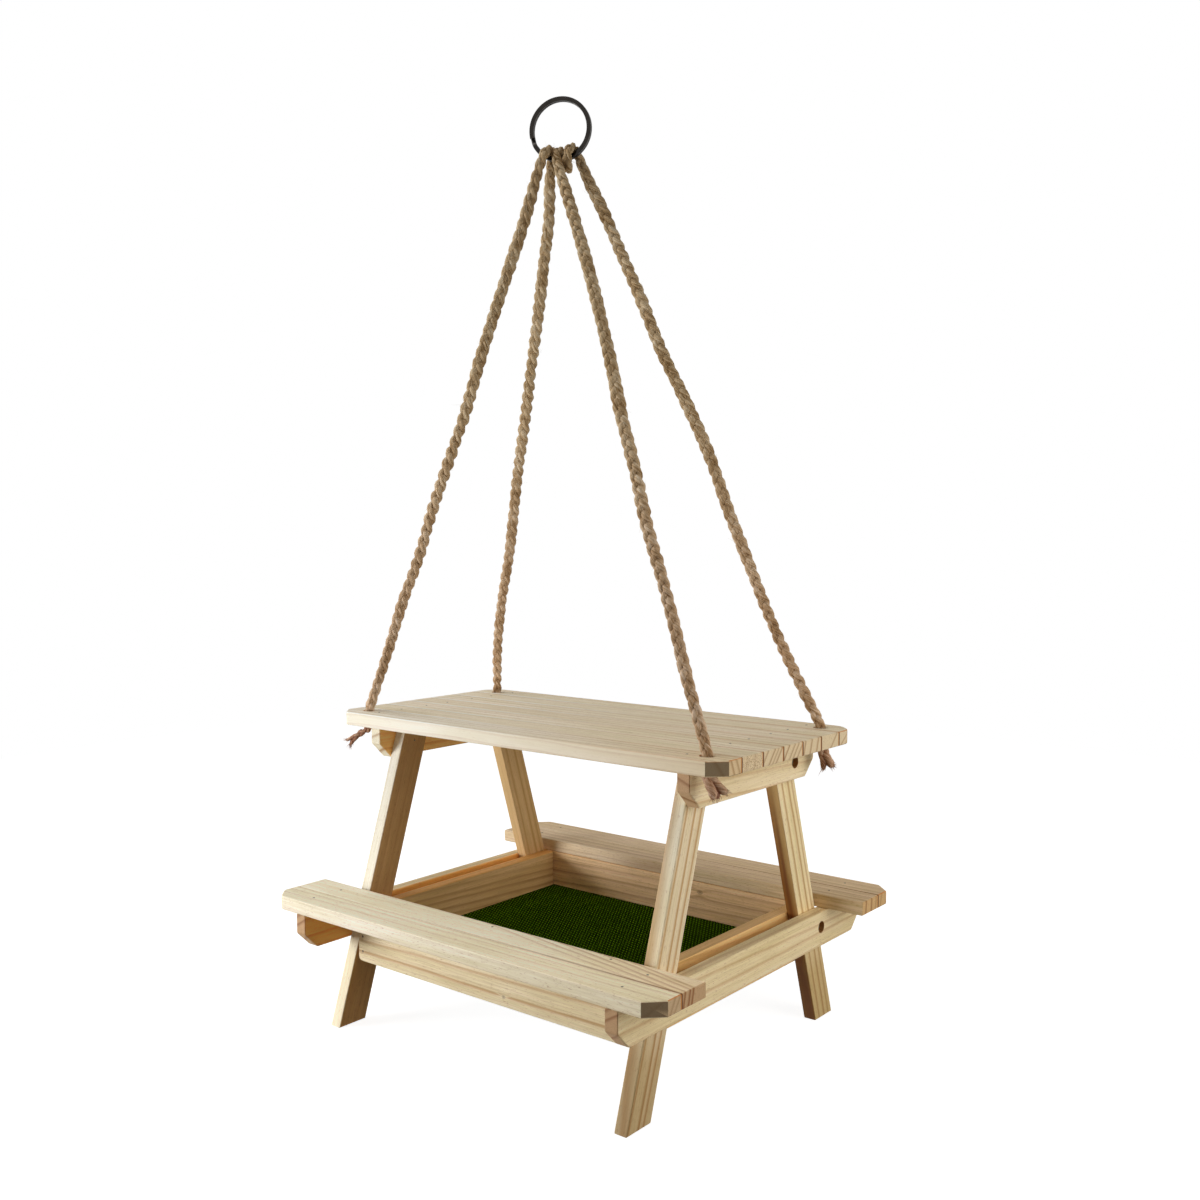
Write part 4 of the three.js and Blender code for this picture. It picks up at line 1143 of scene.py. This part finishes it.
def split_ring():
    """The bar's outline at each step round: out along the radius and sideways along the ring's axis."""
    outline = rounded_bar(RING_RADIAL / 2, RING_AXIAL / 2, RING_EDGE)
    swept = (4 * np.pi - RING_STEP) * np.linspace(0, 1, RING_RINGS)
    into = fade_in(swept, 2 * np.pi - RING_STEP, RING_STEP)
    axial = (RING_AXIAL + RING_COIL_GAP) * (0.5 - into * into * (3 - 2 * into))
    angle = RING_END - swept
    radial = np.cos(angle)[:, None] * ring_along + np.sin(angle)[:, None] * upward
    points = (RING_CENTRE + (wire_radius + outline[None, :, :1]) * radial[:, None, :]
              + (axial[:, None, None] + outline[None, :, 1:]) * ring_normal)
    faces = [face[::-1] for face in closed_tubes(1, RING_RINGS, len(outline))]
    return new_piece("ring_steel", points.reshape(-1, 3), faces)


ring_piece = split_ring()
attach(ring_piece, "ring")
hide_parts("split_ring")
ring_piece.data.materials.append(
    cloudy("dark_nickel", 260, (36, 34, 32), (58, 54, 50), rough=(0.18, 0.16), metallic=0.9))
print("ring:", len(ring_piece.data.polygons), "faces")

# %% [markdown]
# ## Screws
#
# The rails and the cleats are screwed to the legs with countersunk screws. The heads sit at the bottom
# of counterbores, where only the cross recess shows. A head is a surface over a disc: the height
# falls to the recess where the point is near either arm of the cross.

# %% Screws with a cross recess
HEAD_R = 3.2 * MM
HEAD_X = 123.0 * MM
RECESS_DEPTH = 1.4 * MM
ARM_SHARE, RECESS_SHARE = 0.17, 0.66
THREAD_FROM = 2.6 * MM
THREAD_PITCH = 1.5 * MM
THREAD_RISE = 0.4 * MM
CORE_R = 1.1 * MM
POINT_LENGTH = 3 * MM
POINT_R = 1.2 * MM
SCREW_SIDES = 48
HEAD_RINGS = [0.03, 0.1, 0.16, 0.22, 0.3, 0.38, 0.46, 0.54, 0.62, 0.72, 0.85, 0.97]


def screw(name, side, y, z, length, turn):
    """One screw as rings about its axis: the head with its recess, the cone, the thread and the point.

    The recess is a cross of two arms: its depth falls off with the smaller of the two distances from
    the arms' middle lines, and with the distance from the axis. The thread is a ripple of the shank's
    radius that climbs by one pitch each turn.
    """
    around = np.linspace(0, 2 * np.pi, SCREW_SIDES, endpoint=False)
    face_r = HEAD_R * np.array(HEAD_RINGS)[:, None]
    arm = np.minimum(np.abs(face_r * np.cos(around + turn)), np.abs(face_r * np.sin(around + turn)))
    deep = np.clip(1 - face_r / (RECESS_SHARE * HEAD_R), 0, 1) ** 0.6
    recess = RECESS_DEPTH * (1 - fade_in(arm, 0, ARM_SHARE * HEAD_R) ** 3) * deep
    cone_r = np.array([1, 1, 0.75, 0.5])[:, None] * HEAD_R
    cone_at = np.array([0.05, 0.4, 1.3, 2.3])[:, None] * MM
    thread_at = np.arange(THREAD_FROM, length - POINT_LENGTH, THREAD_PITCH / 6)[:, None]
    ripple = 0.5 + 0.5 * np.cos(2 * np.pi * thread_at / THREAD_PITCH - around)
    thinning = 1 - np.linspace(0.1, 0.97, 5)[:, None]
    rows = [(face_r, recess), (cone_r, cone_at), (CORE_R + THREAD_RISE * ripple ** 2, thread_at),
            (POINT_R * thinning, length - POINT_LENGTH * thinning)]
    radius, depth = (np.concatenate([np.broadcast_to(row, (len(row), SCREW_SIDES)) for row in column])
                     for column in zip(*rows))
    points = np.stack([side * (HEAD_X - depth), y - side * radius * np.cos(around),
                       z + radius * np.sin(around)], axis=-1)
    return new_piece(name, points.reshape(-1, 3), closed_tubes(1, len(radius), SCREW_SIDES))


screws = []
for side, x in LEFT_RIGHT:
    for face, y in FRONT_BACK:
        for kind, (out, up), length in (("rail", RAIL_SCREW, 20 * MM), ("cleat", CLEAT_SCREW, 15 * MM)):
            node = f"{kind}_screw_{face}_{side}"
            piece = screw(f"{node}_turned", x, y * out * MM, up * MM, length, 0.5 + 1.1 * len(screws))
            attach(piece, "table")
            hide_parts(node)
            screws.append(piece)
zinc = cloudy("zinc", 900, (176, 166, 140), (120, 106, 78), rough=(0.3, 0.28), metallic=0.85)
for piece in screws:
    piece.data.materials.append(zinc)
print(len(screws), "screws")

# %% [markdown]
# ## The mesh floor
#
# The tray's floor is a plastic insect mesh, laid on the bias. Each wire runs straight and waves up and
# down as it passes over one crossing wire and under the next, so its height is a cosine of the
# distance along it, and neighbours are half a wave apart. The two directions are painted a darker and
# a lighter green: painted shade and painted light, standing in for the light on the weave's ribs.

# %% Weave the mesh
MESH_PITCH = 2.0 * MM
WIRE_R = 0.52 * MM
WIRE_RISE = 0.85 * WIRE_R
MESH_MIDDLE = 48.5 * MM
MESH_HALF = np.array([102.8, 88.4]) * MM
LAY = math.radians(31)


def wires(name, angle, offset_phase):
    """All wires of one direction inside the sheet's rectangle, as square tubes.

    A wire at distance d from the middle is the line d*across + t*along, cut where it leaves the
    rectangle. It rises by a cosine of t over two pitches, turned over on every second wire.
    """
    along = np.array([math.cos(angle), math.sin(angle)])
    across = np.array([-along[1], along[0]])
    reach = np.abs(across) @ MESH_HALF
    step = MESH_PITCH / 2
    points, faces, start = [], [], 0
    corner = np.array([(1, 0), (0, 1), (-1, 0), (0, -1)], dtype=float)
    for line in range(int(-reach / MESH_PITCH), int(reach / MESH_PITCH) + 1):
        base = line * MESH_PITCH * across
        limits = np.sort(np.stack([(-MESH_HALF - base) / along, (MESH_HALF - base) / along]), axis=0)
        low, high = limits[0].max(), limits[1].min()
        if high - low < 2 * MESH_PITCH:
            continue
        t = (np.ceil(low / step) + np.arange(int((high - low) / step) + 1)) * MESH_PITCH / 2
        t = t[t < high]
        wave = np.cos(np.pi * (t / MESH_PITCH + line) + offset_phase) * WIRE_RISE
        middle = np.stack([base[0] + t * along[0], base[1] + t * along[1], MESH_MIDDLE + wave], axis=1)
        points.append((middle[:, None, :] + WIRE_R * (corner[None, :, :1] * np.array([*across, 0])
                                                      + corner[None, :, 1:] * upward)).reshape(-1, 3))
        faces += closed_tubes(1, len(t), 4, start)
        start += len(t) * 4
    return new_piece(name, np.concatenate(points), faces)


mesh_pieces = [wires("mesh_warp", LAY, 0.0), wires("mesh_weft", LAY + math.pi / 2, math.pi)]
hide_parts("tray_mesh")
# Painted light and shade: one direction of wires is painted a dark green and the other a light one
mesh_greens = {"green_warp": ((34, 52, 0), (48, 72, 2)), "green_weft": ((90, 132, 8), (118, 164, 20))}
for piece, (name, (dark, light)) in zip(mesh_pieces, mesh_greens.items()):
    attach(piece, "table")
    piece.data.materials.append(cloudy(name, 120, dark, light, rough=(0.1, 0.8), specular=0.0))
    print(piece.name, sum(len(face.vertices) - 2 for face in piece.data.polygons), "triangles")

# %% [markdown]
# ## Nails
#
# The slats and the side boards are held by thin nails. Only the heads show: small grey discs that
# hardly stand off the wood. One head is a low dome of a few dozen faces; array arithmetic repeats it.

# %% Nail heads
NAIL_R = 0.75 * MM
NAIL_SIDES = 10
TOP_NAIL_OFF = (1.1, -0.9, 0.5, -1.3, 1.4, -0.4, 0.8)
BENCH_TOP = 82.6
nails = []
for side in (-1, 1):
    for i, off in enumerate(TOP_NAIL_OFF):
        nails.append(((side * 121.8, (i - 3) * SLAT_PITCH + off, TABLE_HEIGHT / MM), ALONG_Z))
    for sign in (-1, 1):
        for y in (96.6, 118.0):
            nails.append(((side * 121.2, sign * y, BENCH_TOP), ALONG_Z))
        for z in (46.1, 55.6, 65.0):
            nails.append(((side * 103.5, sign * 94.2, z), (0, sign, 0)))
for sign in (-1, 1):
    nails += [((x, sign * 90, BENCH_TOP), ALONG_Z) for x in (5, 92)]


def nail_heads(name, rows):
    """Low domes: rings of a circle that shrink to the middle while they rise off the face."""
    places = np.array([row[0] for row in rows]) * MM
    out = np.array([row[1] for row in rows], dtype=float)
    side = np.where(np.abs(out[:, 2:]) > 0.5, np.array([[1.0, 0, 0]]), np.array([[0, 0, 1.0]]))
    side = square_to(side, out)
    radius = NAIL_R * np.array([1.0, 1.0, 0.7, 0.15])
    height = np.array([-0.6, 0.03, 0.1, 0.12]) * MM
    circle = circles(side, np.cross(out, side), NAIL_SIDES)
    rings = (places[:, None, None, :] + radius[None, :, None, None] * circle[:, None, :, :]
             + height[None, :, None, None] * out[:, None, None, :])
    return new_piece(name, rings.reshape(-1, 3), closed_tubes(len(rows), len(radius), NAIL_SIDES))


nail_piece = nail_heads("nail_heads", nails)
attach(nail_piece, "table")
nail_piece.data.materials.append(
    cloudy("dull_steel", 1500, (108, 98, 84), (84, 58, 40), rough=(0.3, 0.4), detail=2.0,
           edges=(0.4, 0.65), metallic=0.6))
print(len(nails), "nail heads")

# %% [markdown]
# ## Glue
#
# A collar of set glue holds each cord in its hole. The glue is amber; the finish paints it dark brown
# all over, which is painted shade standing in for the shade inside the hole.

# %% Glue collars
# Painted shade: the glue is painted dark brown all over
set_glue = cloudy("set_glue", 600, (44, 36, 26), (72, 58, 38), rough=(0.3, 0.25), detail=2.0)
for place in STRANDS:
    dress(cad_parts[f"rope_glue_{place}"], set_glue)
print("glue in", len(STRANDS), "holes")

# %% [markdown]
# ## Light and background
#
# The photograph is lit by soft boxes before a white background. One stands low at the left, near the
# camera, one hangs above, and a weak one at the right lights the end. An even grey sky fills the
# shade. For the camera, for mirrors and for glass the sky is plain white instead, which is what the
# Light Path node tells apart.

# %% World and floor
FILL = 0.12
FLOOR_HALF = 1.2
FLOOR_DROP = 0.3 * MM


def seen_directly(tree):
    """1 for rays from the camera, from mirrors and through glass, and 0 for the light in the shade."""
    rays = tree.nodes.new("ShaderNodeLightPath")
    camera_ray, glossy, clear = (Wire(tree, rays.outputs[name]) for name in
                                 ("Is Camera Ray", "Is Glossy Ray", "Is Transmission Ray"))
    return camera_ray.maths("MAXIMUM", glossy).maths("MAXIMUM", clear)


def floor_paper(name):
    """White paper that glows for the camera and for mirrors, and still shows the shadow on it."""
    material, tree = new_tree(name)
    seen = seen_directly(tree)
    paper = add_node(tree, "ShaderNodeBsdfPrincipled", None,
                     {"Base Color": mix(seen, (0.2, 0.19, 0.17), (0.55, 0.55, 0.55)), "Roughness": 0.9,
                      "Specular IOR Level": 0.0})
    glow = add_node(tree, "ShaderNodeEmission", None, {0: WHITE, 1: seen * 0.9})
    join_output(add_node(tree, "ShaderNodeAddShader", None, {0: paper, 1: glow}))
    return material


world = bpy.data.worlds.new("studio")
bpy.context.scene.world = world
world.use_nodes = True
sky = world.node_tree
sky.nodes.clear()
brightness = seen_directly(sky) * (1 - FILL) + FILL
background = add_node(sky, "ShaderNodeBackground", None, {0: WHITE, 1: brightness})
join_output(background, "ShaderNodeOutputWorld")

corners = np.array([[-1, -1, 0], [1, -1, 0], [1, 1, 0], [-1, 1, 0]], dtype=float) * FLOOR_HALF
floor = new_piece("studio_floor", corners - FLOOR_DROP * upward, [[0, 1, 2, 3]], smooth=False)
floor.data.materials.append(floor_paper("floor_paper"))
print("white world and floor")

# %% Lamps
def soft_box(name, place, target, power, size, colour=WHITE, spread=180):
    """A square lamp at a place, aimed at a target, whose light spreads over an angle in degrees."""
    data = bpy.data.lights.new(name, "AREA")
    data.color = colour
    data.energy = power
    data.size = size
    data.spread = math.radians(spread)
    lamp = bpy.data.objects.new(name, data)
    lamp.visible_camera = False
    lamp.location = place
    lamp.rotation_euler = (Vector(place) - Vector(target)).to_track_quat("Z", "Y").to_euler()
    bpy.context.scene.collection.objects.link(lamp)


MIDDLE = (0, 0, 0.15)
soft_box("left_box", (-0.62, -0.69, 0.13), MIDDLE, 7.8, 0.4, (0.98, 1.0, 1.04))
soft_box("right_box", (0.68, 0.08, 0.26), (0.13, 0.02, 0.18), 1.05, 0.55, (1.0, 0.97, 0.92), spread=110)
soft_box("top_box", (-0.42, -0.15, 1.2), MIDDLE, 5.2, 0.7)
print("three soft boxes")

# %% Settings that fix how colours are shown
bpy.context.scene.view_settings.view_transform = "Standard"
print("view transform:", bpy.context.scene.view_settings.view_transform)
